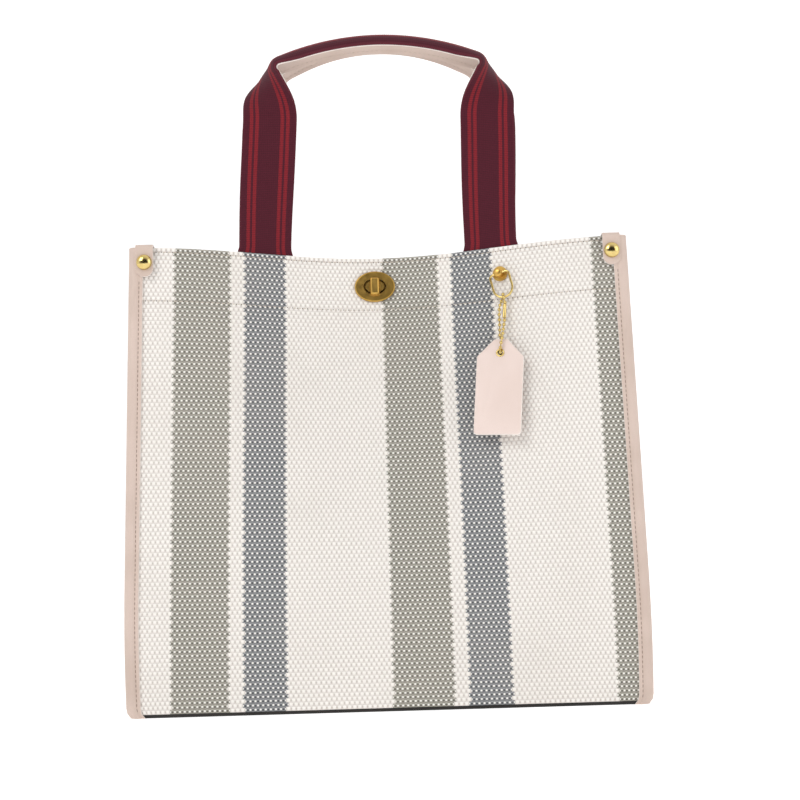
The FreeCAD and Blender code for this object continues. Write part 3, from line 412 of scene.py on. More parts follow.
def canvas_finish(name):
    """Basket weave: round knots of yarn, with a dot of the white warp showing in each coloured gap."""
    cloth = Finish(name, Roughness=0.92, Specular_IOR_Level=0.25, Sheen_Weight=0.12)
    place = cloth.node("ShaderNodeTexCoord", output="UV")
    across = cloth.node("ShaderNodeSeparateXYZ", [place], output=0) * knots_across
    up = cloth.node("ShaderNodeSeparateXYZ", [place], output=1) * knots_up
    row = math.floor(up)
    set_over = (row % 2.0) * 0.5
    over = across + set_over
    column = math.floor(over)
    beside = over - column - 0.5
    above = up - row - 0.5
    knot_wide = 2 * canvas_half(0.0) / knots_across
    knot_high = (wall_height - base_rim) / knots_up
    # each knot takes its colour from its own middle, so the stripes have a toothed edge
    middle = (column + 0.5 - set_over) * knot_wide - canvas_half(0.0)
    band = (middle + stripe_start) % stripe_repeat
    sage = band < sage_wide
    slate = (band > slate_from) * (band < slate_to)
    coloured = sage + slate
    gap_x = (0.5 - abs(beside)) * knot_wide
    gap_z = above * knot_high
    gap = 1.0 - cloth.step((gap_x * gap_x + gap_z * gap_z) ** 0.5, 0.00042, 0.00095)
    # painted shade: hollow is the shaded middle of a coloured knot, under the shaded foot of a pale one, and
    # valley the shaded line between two knots
    low = above + 0.08
    hollow_shade = 1.0 - cloth.step((beside * beside * 6.0 + low * low * 5.0) ** 0.5, 0.30, 0.90)
    under = cloth.step(above * -1.0 + abs(beside) * 0.55, -0.10, 0.55)
    shaded_valley = cloth.step(beside * beside * 4.6 + above * above * 3.0, 0.40, 0.95)
    fibre = cloth.noise(2600.0, 2.0)
    # painted light and shade on the coloured yarn: a lit tone for each knot's upper side, a shaded tone for
    # its hollow and lower half, and darker still along the lines between knots
    lit_yarn = cloth.blend(slate, dye(185, 181, 170), dye(158, 159, 161))
    shaded_yarn = cloth.blend(slate, dye(92, 89, 80), dye(66, 69, 73))
    yarn = cloth.blend(hollow_shade * 0.92, lit_yarn, shaded_yarn)
    yarn = cloth.blend(shaded_valley * 0.45, yarn, cloth.blend(slate, dye(70, 66, 58), dye(50, 53, 57)))
    yarn = cloth.blend(gap, yarn, dye(248, 246, 242))
    # painted shade on the white cloth: darker at the foot of each knot, along the lines between knots and in
    # the gaps between them
    pale = cloth.blend(under * 0.40, dye(250, 246, 241), dye(216, 206, 199))
    pale = cloth.blend(shaded_valley * 0.36, pale, dye(196, 185, 177))
    pale = cloth.blend(gap * 0.45, pale, dye(180, 168, 160))
    tone = cloth.blend(coloured, pale, yarn)
    soil = cloth.step(cloth.noise(14.0, 3.0), 0.45, 0.8) * 0.10 + cloth.step(fibre, 0.5, 0.8) * 0.10
    tone = cloth.blend(soil, tone, dye(196, 184, 172))
    dome = 1.0 - (beside * beside * 3.2 + above * above * 3.6)
    twist = cloth.node("ShaderNodeTexWave", {0: place, "Scale": 330.0}, bands_direction="DIAGONAL")
    height = dome + twist * 0.10 + fibre * 0.35
    return cloth.wear(Base_Color=tone, Normal=cloth.bump(height, 0.00042))


striped_canvas = canvas_finish("striped_basket_canvas")
turned = Matrix.Rotation(math.pi, 4, "Z")
for side, node in (("front", "front_panel"), ("back", "back_panel")):
    panel = new_grid(f"{side}_canvas", 2 * knots_across, 2 * knots_up)
    shape(panel, canvas_place)
    if side == "front":
        open_up(panel, in_lock)
    modify(panel, "SOLIDIFY", thickness=canvas_thick, offset=-1, use_even_offset=False)
    if side == "back":
        panel.data.transform(turned)
    smooth(panel, 60)
    dress(panel, striped_canvas)
    fit(panel, "bag", "striped_canvas", node)


# ---------------------------------------------------------------- hem stitching
# Two rows of beige thread hold the folded hem, one just under the top edge and one at the hem's lower edge.
# The thread sinks into the weave, and what shows most is the shade in the hole where the needle went through,
# laid on as small dark beads of painted shade.
def thread_finish(name, colour):
    thread = Finish(name, Roughness=0.75, Sheen_Weight=0.1)
    twist = thread.node("ShaderNodeTexWave", {"Scale": 900.0}, bands_direction="DIAGONAL")
    return thread.wear(
        Base_Color=thread.blend(thread.noise(1500.0) * 0.3, colour, dye(120, 100, 84)),
        Normal=thread.bump(twist, 0.00005),
    )


def bead(name, long, wide, high):
    """One stitch, or the painted shade of a needle hole: a small rounded lozenge lying along X."""
    bpy.ops.object.select_all(action="DESELECT")
    bpy.ops.mesh.primitive_ico_sphere_add(subdivisions=1, radius=0.5)
    bpy.ops.transform.resize(value=(long, wide, high))
    bpy.ops.object.transform_apply(scale=True)
    pattern = bpy.context.object
    pattern.name = name
    return pattern


def copied(name, pattern, places, finish):
    """A piece made of one copy of the pattern at each place."""
    edit = bmesh.new()
    for place in places:
        before = len(edit.verts)
        edit.from_mesh(pattern.data)
        edit.verts.ensure_lookup_table()
        bmesh.ops.transform(edit, matrix=place, verts=edit.verts[before:])
    mesh = bpy.data.meshes.new(name)
    edit.to_mesh(mesh)
    edit.free()
    piece = bpy.data.objects.new(name, mesh)
    bpy.context.scene.collection.objects.link(piece)
    bpy.data.objects.remove(pattern)
    dress(piece, finish)
    smooth(piece, 80)
    return piece


def spaced(line, pitch, shift=0.0):
    """Places at each pitch along a line of (point, outward) pairs: X along the line, Z out of the surface."""
    places = []
    wanted = pitch / 2 + shift
    walked = 0.0
    for (start, start_out), (end, end_out) in zip(line, line[1:]):
        run = (end - start).length
        while run > 0 and wanted <= walked + run:
            share = (wanted - walked) / run
            out = start_out.lerp(end_out, share)
            along = (end - start).normalized()
            sideways = out.cross(along).normalized()
            out = along.cross(sideways)
            turn = Matrix((along, sideways, out)).transposed().to_4x4()
            places.append(Matrix.Translation(start.lerp(end, share)) @ turn)
            wanted += pitch
        walked += run
    return places


def canvas_row(down, lift):
    """The line of a stitch row: how far down from the top edge, and how far off the front canvas."""
    line = []
    steps = 160
    for number in range(steps + 1):
        x = mix(-canvas_half(wall_height), canvas_half(wall_height), number / steps)
        z = mouth_z(x) - down
        y = wall(x, z) + pull(x, z) + pinch(x, down)
        slope = (wall(x + 0.001, z) - wall(x - 0.001, z)) / 0.002
        line.append((Vector((x, y - lift, z)), Vector((slope, -1, 0)).normalized()))
    return line


hem_thread = thread_finish("hem_thread", dye(222, 210, 196))
# the needle holes are small dark beads: painted shade for the hollow each needle left
painted_hole_shade = thread_finish("painted_hole_shade", dye(78, 56, 42))
hem_pitch = 0.0037
hem_stitch = (0.0026, 0.0007, 0.0006)
hole_size = (0.0009, 0.0008, 0.0004)
hole_lift = 0.0001
for side in ("front", "back"):
    sewn = []
    pierced = []
    for row in hem_rows:
        sewn += spaced(canvas_row(row, 0.0), hem_pitch)
        pierced += spaced(canvas_row(row, hole_lift), hem_pitch, shift=hem_pitch / 2)
    stitches = copied(f"{side}_hem_stitches", bead("stitch", *hem_stitch), sewn, hem_thread)
    hole_shades = copied(f"{side}_hem_painted_hole_shade", bead("hole", *hole_size), pierced, painted_hole_shade)
    for piece in (stitches, hole_shades):
        if side == "back":
            piece.data.transform(turned)
        fit(piece, "bag", "striped_canvas")


# ---------------------------------------------------------------- facings and lining
# Inside, the hem's turned-down canvas makes a facing along the front and the back of the mouth. Under it
# hangs a twill lining: two walls, two sides and a floor over the base board, with the ripples of loose cloth.
facing_depth = 0.0034
facing_thick = 0.0012
lining_depth = 0.0047
lining_thick = 0.0006
lining_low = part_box("base_lining")[1].z + ply
lining_top_lap = 0.003
lining_loose = 0.0004
side_lining_depth = 0.0026
floor_ripple = 0.0004
leather = 0.0015
wrap_radius = 0.005
gusset_fold = 0.032


def facing_place(across, up):
    side = 2 * across - 1
    edge = half_width(wall_height) - wrap_radius - ply
    top = mouth_z(side * edge)
    z = mix(top - hem_depth, top, up)
    x = side * (half_width(z) - wrap_radius - ply)
    deep = facing_depth + facing_thick - pinch(x, top - z) + 0.6 * pull(x, z)
    return Vector((x, wall(x, z) + deep, z))


def ripple(x, z, seed):
    broad = 0.0006 * noise.noise(Vector((22 * x, seed, 9 * z)))
    return broad + 0.0003 * noise.noise(Vector((60 * x, seed, 25 * z)))


def lining_place(across, up):
    side = 2 * across - 1
    z = mix(lining_low, mouth_z(side * half_top) - hem_depth + lining_top_lap, up)
    x = side * (half_width(z) - leather - wrap_radius - lining_thick)
    free = ease((1 - abs(side)) / 0.15) * ease(up / 0.1) * ease((1 - up) / 0.15)
    loose = free * (lining_loose + abs(ripple(x, z, 5.0)))
    return Vector((x, wall(x, z) + lining_depth + lining_thick + loose, z))


def side_x(y, z):
    """Where the right gusset's leather lies: it folds inwards towards the mouth."""
    reach = half_depth(z) + ply + leather - wrap_radius
    return half_width(z) - gusset_fold * (z / wall_height) ** 2 * swell(y / reach)


def side_lining_place(across, up):
    side = 2 * across - 1
    z = mix(lining_low, wall_height - hem_depth + lining_top_lap, up)
    y = side * (half_depth(z) - lining_depth)
    free = ease((1 - abs(side)) / 0.2) * ease(up / 0.1)
    return Vector((side_x(y, z) - side_lining_depth - tuck(z) - free * abs(ripple(y, z, 8.0)), y, z))


def floor_place(across, up):
    x = (2 * across - 1) * floor_corner.x
    y = (2 * up - 1) * floor_corner.y
    return Vector((x, y, floor_corner.z + floor_ripple * noise.noise(Vector((20 * x, 20 * y, 2.0)))))


twill = Finish("lining_twill", Roughness=0.85, Sheen_Weight=0.15)
twill_place = twill.node("ShaderNodeTexCoord", output="UV")
twill_lines = twill.node("ShaderNodeTexWave", {0: twill_place, "Scale": 150.0}, bands_direction="DIAGONAL")
twill_tone = twill.blend(twill_lines * 0.35, dye(206, 197, 184), dye(176, 166, 152))
lining_twill = twill.wear(Base_Color=twill_tone, Normal=twill.bump(twill_lines + twill.noise(900.0), 0.00008))

floor_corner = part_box("base_lining")[1]
facing_cloth = (facing_thick, striped_canvas, "striped_canvas")
lining_cloth = (lining_thick, lining_twill, "lining_cloth")
inside_sheets = (
    ("front_facing", facing_place, (101, 14), (0.332, 0.036), facing_cloth),
    ("back_facing", facing_place, (101, 14), (0.332, 0.036), facing_cloth),
    ("front_lining", lining_place, (60, 56), (0.338, 0.281), lining_cloth),
    ("back_lining", lining_place, (60, 56), (0.338, 0.281), lining_cloth),
    ("right_lining", side_lining_place, (36, 56), (0.120, 0.281), lining_cloth),
    ("left_lining", side_lining_place, (36, 56), (0.120, 0.281), lining_cloth),
)
for node, place, (columns, rows), flat, (thick, finish, slot) in inside_sheets:
    inner = new_grid(f"{node}_cloth", columns, rows)
    shape(inner, place)
    if node == "front_facing":
        open_up(inner, in_lock)
    alone(inner)
    bpy.ops.object.mode_set(mode="EDIT")
    bpy.ops.mesh.select_all(action="SELECT")
    bpy.ops.mesh.flip_normals()
    bpy.ops.object.mode_set(mode="OBJECT")
    modify(inner, "SOLIDIFY", thickness=thick, offset=-1)
    if node.startswith(("back", "left")):
        inner.data.transform(turned)
    smooth(inner, 60)
    dress(inner, finish)
    fit(inner, "bag", slot, node)
    "hung" if "lining" in node else "stretched"

floor_cloth = new_grid("base_lining_cloth", 60, 24)
shape(floor_cloth, floor_place)
modify(floor_cloth, "SOLIDIFY", thickness=lining_thick, offset=-1)
smooth(floor_cloth, 60)
dress(floor_cloth, lining_twill)
fit(floor_cloth, "bag", "lining_cloth", "base_lining")


# ---------------------------------------------------------------- gussets
# Each side is one piece of blush leather that wraps round the corners and laps over the raw edge of the
# canvas, front and back. The lap's edge is painted, and pressed down along the stitch line; the rest swells.
lap_columns = 8
wrap_columns = 10
side_columns = 64
gusset_columns = 2 * (lap_columns + wrap_columns) + side_columns
lap_share = lap_columns / gusset_columns
wrap_share = wrap_columns / gusset_columns
stitch_inset = 0.0025
swollen = 0.0007
swell_run = 0.0022
groove_deep = 0.0004
groove_wide = 0.0006
lap_pitch = 0.0032
lap_stitch = (0.0027, 0.0006, 0.0006)


def lap_rise(from_edge, z):
    """How far the lap stands off the canvas: low at its edge and its stitch line, and swollen beyond."""
    rise = swollen * ease((from_edge - stitch_inset) / swell_run) * ease((wall_height - 0.012 - z) / 0.02)
    return rise - groove_deep * math.exp(-(((from_edge - stitch_inset) / groove_wide) ** 2))


def gusset_place(across, up):
    z = mix(ply, wall_height, up)
    inward = tuck(z)
    outer_y = half_depth(z) + ply + leather
    lap_x = half_width(z) - lap - inward
    wrap_x = half_width(z) - wrap_radius - inward
    wrap_y = outer_y - wrap_radius
    way = -1 if across < 0.5 else 1
    along = min(across, 1 - across)
    if along < lap_share:
        from_edge = (wrap_x - lap_x) * along / lap_share
        return Vector((lap_x + from_edge, way * (outer_y + lap_rise(from_edge, z)), z))
    if along < lap_share + wrap_share:
        angle = math.pi / 2 * (along - lap_share) / wrap_share
        fuller = lap_rise(wrap_x - lap_x, z) * math.cos(angle)
        deep = wrap_y + wrap_radius * math.cos(angle) + fuller
        return Vector((wrap_x + wrap_radius * math.sin(angle), way * deep, z))
    share = (along - lap_share - wrap_share) / (0.5 - lap_share - wrap_share)
    y = wrap_y * (1 - share)
    free = ease(share / 0.3) * ease(up / 0.08)
    crumple = 0.0013 * noise.noise(Vector((26 * y * way, 4.0, 6 * z)))
    crumple += 0.0005 * noise.noise(Vector((70 * y * way, 7.0, 26 * z)))
    return Vector((side_x(y, z) - inward + free * crumple, way * y, z))


blush_leather = leather_finish("blush_leather", dye(212, 192, 181), dye(201, 181, 169))
paint = Finish("leather_edge_paint", Roughness=0.45)
paint_tone = paint.blend(paint.noise(500.0) * 0.4, dye(248, 240, 234), dye(232, 219, 210))
edge_paint = paint.wear(Base_Color=paint_tone)
# the lap's stitches are coloured dark brown: partly the thread's own colour and partly painted shade for the
# groove they sink into
lap_thread_and_groove_shade = thread_finish("lap_thread_and_groove_shade", dye(140, 118, 104))


def lap_row(way):
    """The stitch line of a lap, up the front (-1) or the back (1) of the right gusset."""
    line = []
    steps = 120
    for number in range(steps + 1):
        z = mix(0.004, wall_height - 0.024, number / steps)
        x = half_width(z) - lap - tuck(z) + stitch_inset
        y = half_depth(z) + ply + leather + lap_rise(stitch_inset, z)
        line.append((Vector((x, way * y, z)), Vector((0, way, 0))))
    return line


for side in ("right", "left"):
    gusset = new_grid(f"{side}_gusset_leather", gusset_columns, 96)
    shape(gusset, gusset_place)
    dress(gusset, blush_leather, edge_paint)
    modify(gusset, "SOLIDIFY", thickness=leather, offset=-1, use_even_offset=True, material_offset_rim=1)
    modify(gusset, "BEVEL", width=0.00035, segments=2, limit_method="ANGLE", angle_limit=math.radians(62))
    places = spaced(lap_row(-1), lap_pitch) + spaced(lap_row(1), lap_pitch)
    seam = copied(f"{side}_gusset_stitches", bead("stitch", *lap_stitch), places, lap_thread_and_groove_shade)
    for piece, nodes in ((gusset, [f"{side}_gusset"]), (seam, [])):
        if side == "left":
            piece.data.transform(turned)
        fit(piece, "bag", "blush_leather", *nodes)
    smooth(gusset, 50)


# ---------------------------------------------------------------- corner tabs and studs
# A short leather strip with round painted ends is folded over the mouth at each corner and held by a domed
# brass stud, riveted through every ply to a small cap inside.
tab_half = 0.006
tab_thick = 0.0013
tab_low = 0.010
tab_top = 0.0128
tab_front = 0.0030
tab_behind = 0.0072
tab_bend = 0.0026
stud_in = 0.011
stud_down = 0.011


def tab_stations():
    """Distances along the strip, closer together round its two ends, and its half width at each."""
    across = tab_front + tab_behind - 2 * tab_bend
    straight = (tab_low + tab_top - tab_bend) * 2 + across + math.pi * tab_bend
    ends = [math.radians(14 + 76 * number / 8) for number in range(9)]
    first = [(tab_half * (1 - math.cos(angle)), tab_half * math.sin(angle)) for angle in ends]
    steps = 34
    middle = [(mix(tab_half, straight - tab_half, number / steps), tab_half) for number in range(1, steps)]
    return first + middle + [(straight - run, half) for run, half in reversed(first)]


def tab_fold(run):
    """The strip's outer face, as distance out from the wall and up from the stud."""
    rise = tab_low + tab_top - tab_bend
    bend = tab_bend * math.pi / 2
    across = tab_front + tab_behind - 2 * tab_bend
    if run < rise:
        return tab_front, run - tab_low
    if run < rise + bend:
        angle = (run - rise) / tab_bend
        return tab_front - tab_bend * (1 - math.cos(angle)), tab_top - tab_bend * (1 - math.sin(angle))
    if run < rise + bend + across:
        return tab_front - tab_bend - (run - rise - bend), tab_top
    if run < rise + 2 * bend + across:
        angle = (run - rise - bend - across) / tab_bend
        return tab_bend * (1 - math.sin(angle)) - tab_behind, tab_top - tab_bend * (1 - math.cos(angle))
    return -tab_behind, tab_top - tab_bend - (run - rise - 2 * bend - across)


def corner_frame(x):
    """Matrix of a front corner's stud, that far to the side: X right, Y up the wall, Z out of it."""
    z = wall_height - stud_down
    upward = Vector((0, (deep_base - deep_top) / wall_height, 1)).normalized()
    outward = Vector((1, 0, 0)).cross(upward)
    turn = Matrix((Vector((1, 0, 0)), upward, outward)).transposed().to_4x4()
    return Matrix.Translation((x, -half_depth(z), z)) @ turn


brass = Finish("polished_brass", Metallic=1.0, Roughness=0.16)
brass_clouds = brass.step(brass.noise(260.0, 3.0), 0.4, 0.75)
brass_tone = brass.blend(brass_clouds * 0.5, dye(216, 192, 126), dye(190, 160, 92))
polished_brass = brass.wear(
    Base_Color=brass_tone,
    Roughness=brass.noise(500.0, 3.0) * 0.14 + 0.09,
    Normal=brass.bump(brass.noise(1800.0, 2.0), 0.00001),
)
stations = tab_stations()
stud_x = half_top - stud_in
# the back corners are front corners turned round, so their sides change over
corners = {"front_left": -1, "front_right": 1, "back_left": 1, "back_right": -1}
for corner, way in corners.items():
    placed = corner_frame(way * stud_x)
    if corner.startswith("back"):
        placed = turned @ placed

    def tab_place(across, up):
        run, half = stations[round(up * (len(stations) - 1))]
        out, rise = tab_fold(run)
        return placed @ Vector(((2 * across - 1) * half, rise, out))

    tab = new_grid(f"{corner}_tab_leather", 12, len(stations) - 1)
    shape(tab, tab_place)
    dress(tab, blush_leather, edge_paint)
    modify(tab, "SOLIDIFY", thickness=tab_thick, offset=-1, material_offset_rim=1)
    modify(tab, "BEVEL", width=0.0003, segments=2, limit_method="ANGLE", angle_limit=math.radians(60))
    smooth(tab, 50)
    fit(tab, "bag", "blush_leather", f"{corner}_tab")
    for node in (f"{corner}_stud", f"{corner}_stud_cap"):
        dress(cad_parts[node], polished_brass)


# ---------------------------------------------------------------- handles
# Each handle is one length of ribbed webbing, burgundy with two pairs of red lines. It comes up from between
# the plies of the hem, stands flat beside the mouth, then turns to lie level as the grip.
web_half = 0.019
web_thick = 0.0018
tail_depth = 0.0015
handle_start = 0.002
leg_lean = math.radians(1.4)
front_fold = 0.009
back_fold = 0.0055
grip_gap = 0.003
handle_sway = 0.0035
twist_below = 0.032
twist_above = 0.016
rib_pitch = 0.0013
rib_relief = 0.00006


class HandleLine:
    """The middle line of half a handle: a leg, a tight bend and half of the grip. The rest mirrors it."""

    def __init__(self, spread, rise, corner_angle, bend, flare, sway, folds):
        self.spread = spread
        self.folds = folds
        self.bend = bend
        self.flare = flare
        self.sway = sway
        self.corner = math.radians(corner_angle)
        self.foot = mouth_z(spread) + handle_start
        climb = wall_height + rise - web_thick / 2 - self.foot
        share = (1 - math.sin(self.corner)) / math.cos(self.corner)
        across = bend * (math.cos(leg_lean) - math.cos(self.corner))
        upward = bend * (math.sin(self.corner) - math.sin(leg_lean))
        straight = climb - upward - share * (spread - across)
        self.leg = straight / (math.cos(leg_lean) - share * math.sin(leg_lean))
        self.grip = (spread - across - self.leg * math.sin(leg_lean)) / math.cos(self.corner)
        self.bent = self.leg + bend * (self.corner - leg_lean)
        self.length = self.bent + self.grip * (math.pi / 2 - self.corner)

    def centre(self, run):
        """Distance out from the middle, height above the foot, and the angle from upright."""
        along = min(run, self.leg)
        out = self.spread - along * math.sin(leg_lean)
        up = along * math.cos(leg_lean)
        angle = leg_lean
        if run > self.leg:
            angle = min(leg_lean + (run - self.leg) / self.bend, self.corner)
            out -= self.bend * (math.cos(leg_lean) - math.cos(angle))
            up += self.bend * (math.sin(angle) - math.sin(leg_lean))
        if run > self.bent:
            angle = self.corner + (run - self.bent) / self.grip
            out -= self.grip * (math.cos(self.corner) - math.cos(angle))
            up += self.grip * (math.sin(angle) - math.sin(self.corner))
        fade = ease((self.length - run) / (self.length - self.bent))
        return out + self.flare * ease((run - self.leg + twist_below) / twist_below) * fade, up, angle

    def twist(self, run):
        """The turn of the webbing about its own length: flat to the wall below, level across the grip."""
        slope = (wall(self.spread + 0.0005, wall_height) - wall(self.spread - 0.0005, wall_height)) / 0.001
        low = math.atan(slope) * (1 - ease(run / (0.75 * self.leg)))
        return low + math.pi / 2 * ease((run - self.leg + twist_below) / (twist_below + twist_above))

    def free_point(self, sign, run, lateral, lift, half):
        """Above the mouth: lateral runs from -1 to 1 across the band, lift stands off its middle plane."""
        out, up, angle = self.centre(run)
        settle = ease(run / self.leg)
        foot_y = wall(self.spread, wall_height) + tail_depth + web_thick / 2
        grip_y = -web_half - grip_gap / 2
        middle = Vector((sign * out + self.sway * settle, mix(foot_y, grip_y, settle), self.foot + up))
        outward = Vector((sign * math.cos(angle), 0, math.sin(angle)))
        twist = self.twist(run)
        width_way = outward * math.cos(twist) + Vector((0, math.sin(twist), 0))
        face_way = Vector((0, -math.cos(twist), 0)) + outward * math.sin(twist)
        turning = ease((run - self.leg + twist_below / 2) / (twist_below + twist_above))
        fold = self.folds[lateral > 0] * turning
        share = lateral * half / web_half
        tilt = math.atan(4 * fold * share**3 / web_half)
        skin_way = face_way * math.cos(tilt) + width_way * math.sin(tilt)
        return middle + width_way * (lateral * half) - face_way * (fold * share**4) + skin_way * lift

    def point(self, sign, run, lateral, lift=0.0, half=web_half):
        """Any point of the band; where run is below nought it lies hidden between the plies of the hem."""
        above = ease((run + 0.0035) / 0.007)
        free = self.free_point(sign, max(run, 0.0), lateral, lift, half)
        free.z += min(run, 0.0)
        if above >= 1.0:
            return free
        x = sign * (self.spread + lateral * half)
        z = mouth_z(x) + handle_start + run
        sewn = Vector((x, wall(x, min(z, wall_height)) + tail_depth + web_thick / 2 - lift, z))
        return sewn.lerp(free, above)


def band(name, line, first, half, lift, columns, pitch, relief):
    """A band that follows a handle from its first run on one leg, over the grip, to the same on the other."""
    reach = line.length - first
    rows = 2 * round(reach / pitch)

    def place(across, up):
        way = (2 * up - 1) * reach
        ribbed = relief * math.cos(math.pi * round(up * rows))
        sign = -1 if way < 0 else 1
        return line.point(sign, line.length - abs(way), 1 - 2 * across, lift + ribbed, half)

    piece = new_grid(name, columns, rows)
    shape(piece, place)
    return piece


webbing = Finish("striped_webbing", Roughness=0.75, Sheen_Weight=0.06, Specular_IOR_Level=0.2)
web_map = webbing.node("ShaderNodeTexCoord", output="UV")
web_across = webbing.node("ShaderNodeSeparateXYZ", [web_map], output=0)
web_along = webbing.node("ShaderNodeSeparateXYZ", [web_map], output=1)
ribs = 384.0
wobble = webbing.node("ShaderNodeTexNoise", {"Vector": web_map, "Scale": 620.0}) * 0.030 - 0.015
from_edge = 0.5 - abs(web_across + wobble - 0.5)
lines = (from_edge > 0.130) * (from_edge < 0.195) + (from_edge > 0.235) * (from_edge < 0.300)
rib = (web_along * ribs) % 1.0
# the valleys between the ribs are painted in shade, mixed with a slow change of tone across the yarns
shaded_valley = webbing.step(abs(rib - 0.5), 0.28, 0.5)
yarns = webbing.node("ShaderNodeTexWave", {0: web_map, "Scale": 9.0}, bands_direction="X")
web_tone = webbing.blend(lines, dye(80, 20, 36), dye(134, 30, 40))
web_tone = webbing.blend(shaded_valley * 0.55 + yarns * 0.15, web_tone, dye(46, 14, 24))
selvedge = 1.0 - webbing.step(from_edge, 0.0, 0.03)
web_tone = webbing.blend(selvedge * 0.4, web_tone, dye(110, 48, 58))
striped_webbing = webbing.wear(
    Base_Color=web_tone,
    Normal=webbing.bump(webbing.noise(2200.0, 2.0) * 0.5 + yarns * 0.4 - shaded_valley * 0.6, 0.00012),
)

# the grip is faced underneath with a strip of blush leather, sewn on near both edges
grip_half = 0.0185
grip_thick = 0.0012
grip_start = 0.008
grip_clear = 0.0005
grip_lift = -(web_thick / 2 + grip_clear + grip_thick / 2)
grip_inset = 0.0028
grip_rows = 0.003
grip_pitch = 0.0034
grip_stitch = (0.0024, 0.0006, 0.0005)
grip_steps = 90
grip_thread = thread_finish("grip_thread", dye(206, 190, 178))
# both grips lean to the same side; the rear handle is shaped turned round, so its sway is reversed
front_line = HandleLine(
    spread=0.079,
    rise=0.150,
    corner_angle=66,
    bend=0.012,
    flare=0.0032,
    sway=handle_sway,
    folds=(front_fold, back_fold),
)
rear_line = HandleLine(
    spread=0.083,
    rise=0.161,
    corner_angle=62,
    bend=0.024,
    flare=-0.0020,
    sway=-handle_sway,
    folds=(back_fold, front_fold),
)
for side, line in (("front", front_line), ("rear", rear_line)):
    web_first = -hem_depth - handle_start + ply
    web = band(f"{side}_handle_strap", line, web_first, web_half, 0.0, 20, rib_pitch / 2, rib_relief)
    modify(web, "SOLIDIFY", thickness=web_thick, offset=0)
    modify(web, "BEVEL", width=0.0005, segments=2, limit_method="ANGLE", angle_limit=math.radians(62))
    dress(web, striped_webbing)
    leather_first = line.leg - grip_start
    grip = band(f"{side}_grip_facing", line, leather_first, grip_half, grip_lift, 14, grip_rows, 0.0)
    dress(grip, blush_leather, edge_paint)
    modify(grip, "SOLIDIFY", thickness=grip_thick, offset=0, material_offset_rim=1)
    modify(grip, "BEVEL", width=0.00035, segments=2, limit_method="ANGLE", angle_limit=math.radians(62))
    places = []
    for edge in (-1, 1):
        row = []
        for number in range(-grip_steps, grip_steps + 1):
            run = mix(line.length, leather_first + 0.002, abs(number) / grip_steps)
            sign = -1 if number < 0 else 1
            lateral = edge * (1 - grip_inset / grip_half)
            under = line.point(sign, run, lateral, grip_lift - grip_thick / 2, grip_half)
            over = line.point(sign, run, lateral, grip_lift, grip_half)
            row.append((under, (under - over).normalized()))
        places += spaced(row, grip_pitch)
    seam = copied(f"{side}_grip_stitches", bead("stitch", *grip_stitch), places, grip_thread)
    for piece in (web, grip, seam):
        if side == "rear":
            piece.data.transform(turned)
    smooth(web, 50)
    smooth(grip, 50)
    body = f"{side}_handle"
    way = -1 if side == "front" else 1
    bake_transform(web)
    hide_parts(f"{side}_handle_webbing", f"{side}_handle_tails")
    fit(grip, body, "blush_leather", f"{side}_handle_grip_leather")
    fit(seam, body, "blush_leather")


# ---------------------------------------------------------------- turnlock
# An oval plate of aged brass on the front hem, with a backing inside. The toggle stands on a base that is
# fixed to the back facing and reaches through the plate; turned upright, it holds the mouth together.
aged = Finish("antique_brass", Metallic=1.0)
aged_spots = aged.step(aged.noise(320.0, 5.0), 0.42, 0.72)
aged_clouds = aged.step(aged.noise(90.0, 3.0), 0.35, 0.7)
aged_tone = aged.blend(aged_clouds, dye(208, 168, 88), dye(186, 148, 74))
aged_tone = aged.blend(aged_spots * 0.14, aged_tone, dye(150, 120, 66))
antique_brass = aged.wear(
    Base_Color=aged_tone,
    Roughness=aged_spots * 0.10 + 0.32,
    Normal=aged.bump(aged.noise(1500.0, 3.0), 0.000012),
)
for node in ("turnlock_plate", "turnlock_backing", "turnlock_base", "turnlock_toggle", "turnlock_cap"):
    dress(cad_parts[node], antique_brass)


# ---------------------------------------------------------------- swivel post, shackle and ball chain
# A turned post of aged brass on a rosette carries a bow of polished wire; a ball chain, closed by a tube
# connector, hangs in the bow and passes through the tag's eyelet.
for node in ("tag_post_rosette", "tag_post", "tag_post_cap"):
    dress(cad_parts[node], antique_brass)
for node in ("tag_shackle", "tag_bead_chain", "tag_chain_connector", "tag_eyelet"):
    dress(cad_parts[node], polished_brass)


# ---------------------------------------------------------------- hang tag
# Two layers of blush leather glued back to back, with a gabled top, cut square and painted pale at the edge.
def rounded_copy(node, name, radius):
    """A copy of a hard-edged node, with its rims rounded."""
    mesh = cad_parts[node].data.copy()
    piece = bpy.data.objects.new(name, mesh)
    bpy.context.scene.collection.objects.link(piece)
    alone(piece)
    bpy.ops.object.mode_set(mode="EDIT")
    bpy.ops.mesh.select_all(action="SELECT")
    bpy.ops.mesh.remove_doubles(threshold=1e-6)
    bpy.ops.mesh.dissolve_limited(angle_limit=math.radians(2))
    bpy.ops.object.mode_set(mode="OBJECT")
    modify(piece, "BEVEL", width=radius, segments=3, limit_method="ANGLE", angle_limit=math.radians(50))
    return piece


tag_round = 0.0007
tag_leather = leather_finish(
    "tag_leather", dye(233, 214, 206), dye(226, 206, 197), grain=1100.0, roughness=0.45
)
tag = rounded_copy("hang_tag", "hang_tag_leather", tag_round)
dress(tag, tag_leather, edge_paint)
tag_faces = sorted(tag.data.polygons, key=lambda face: face.area)
tag_out = tag_faces[-1].normal.copy()
for face in tag.data.polygons:
    face.material_index = 0 if abs(face.normal.dot(tag_out)) > 0.96 else 1
smooth(tag, 40)
fit(tag, "tag", "tag_leather", "hang_tag")


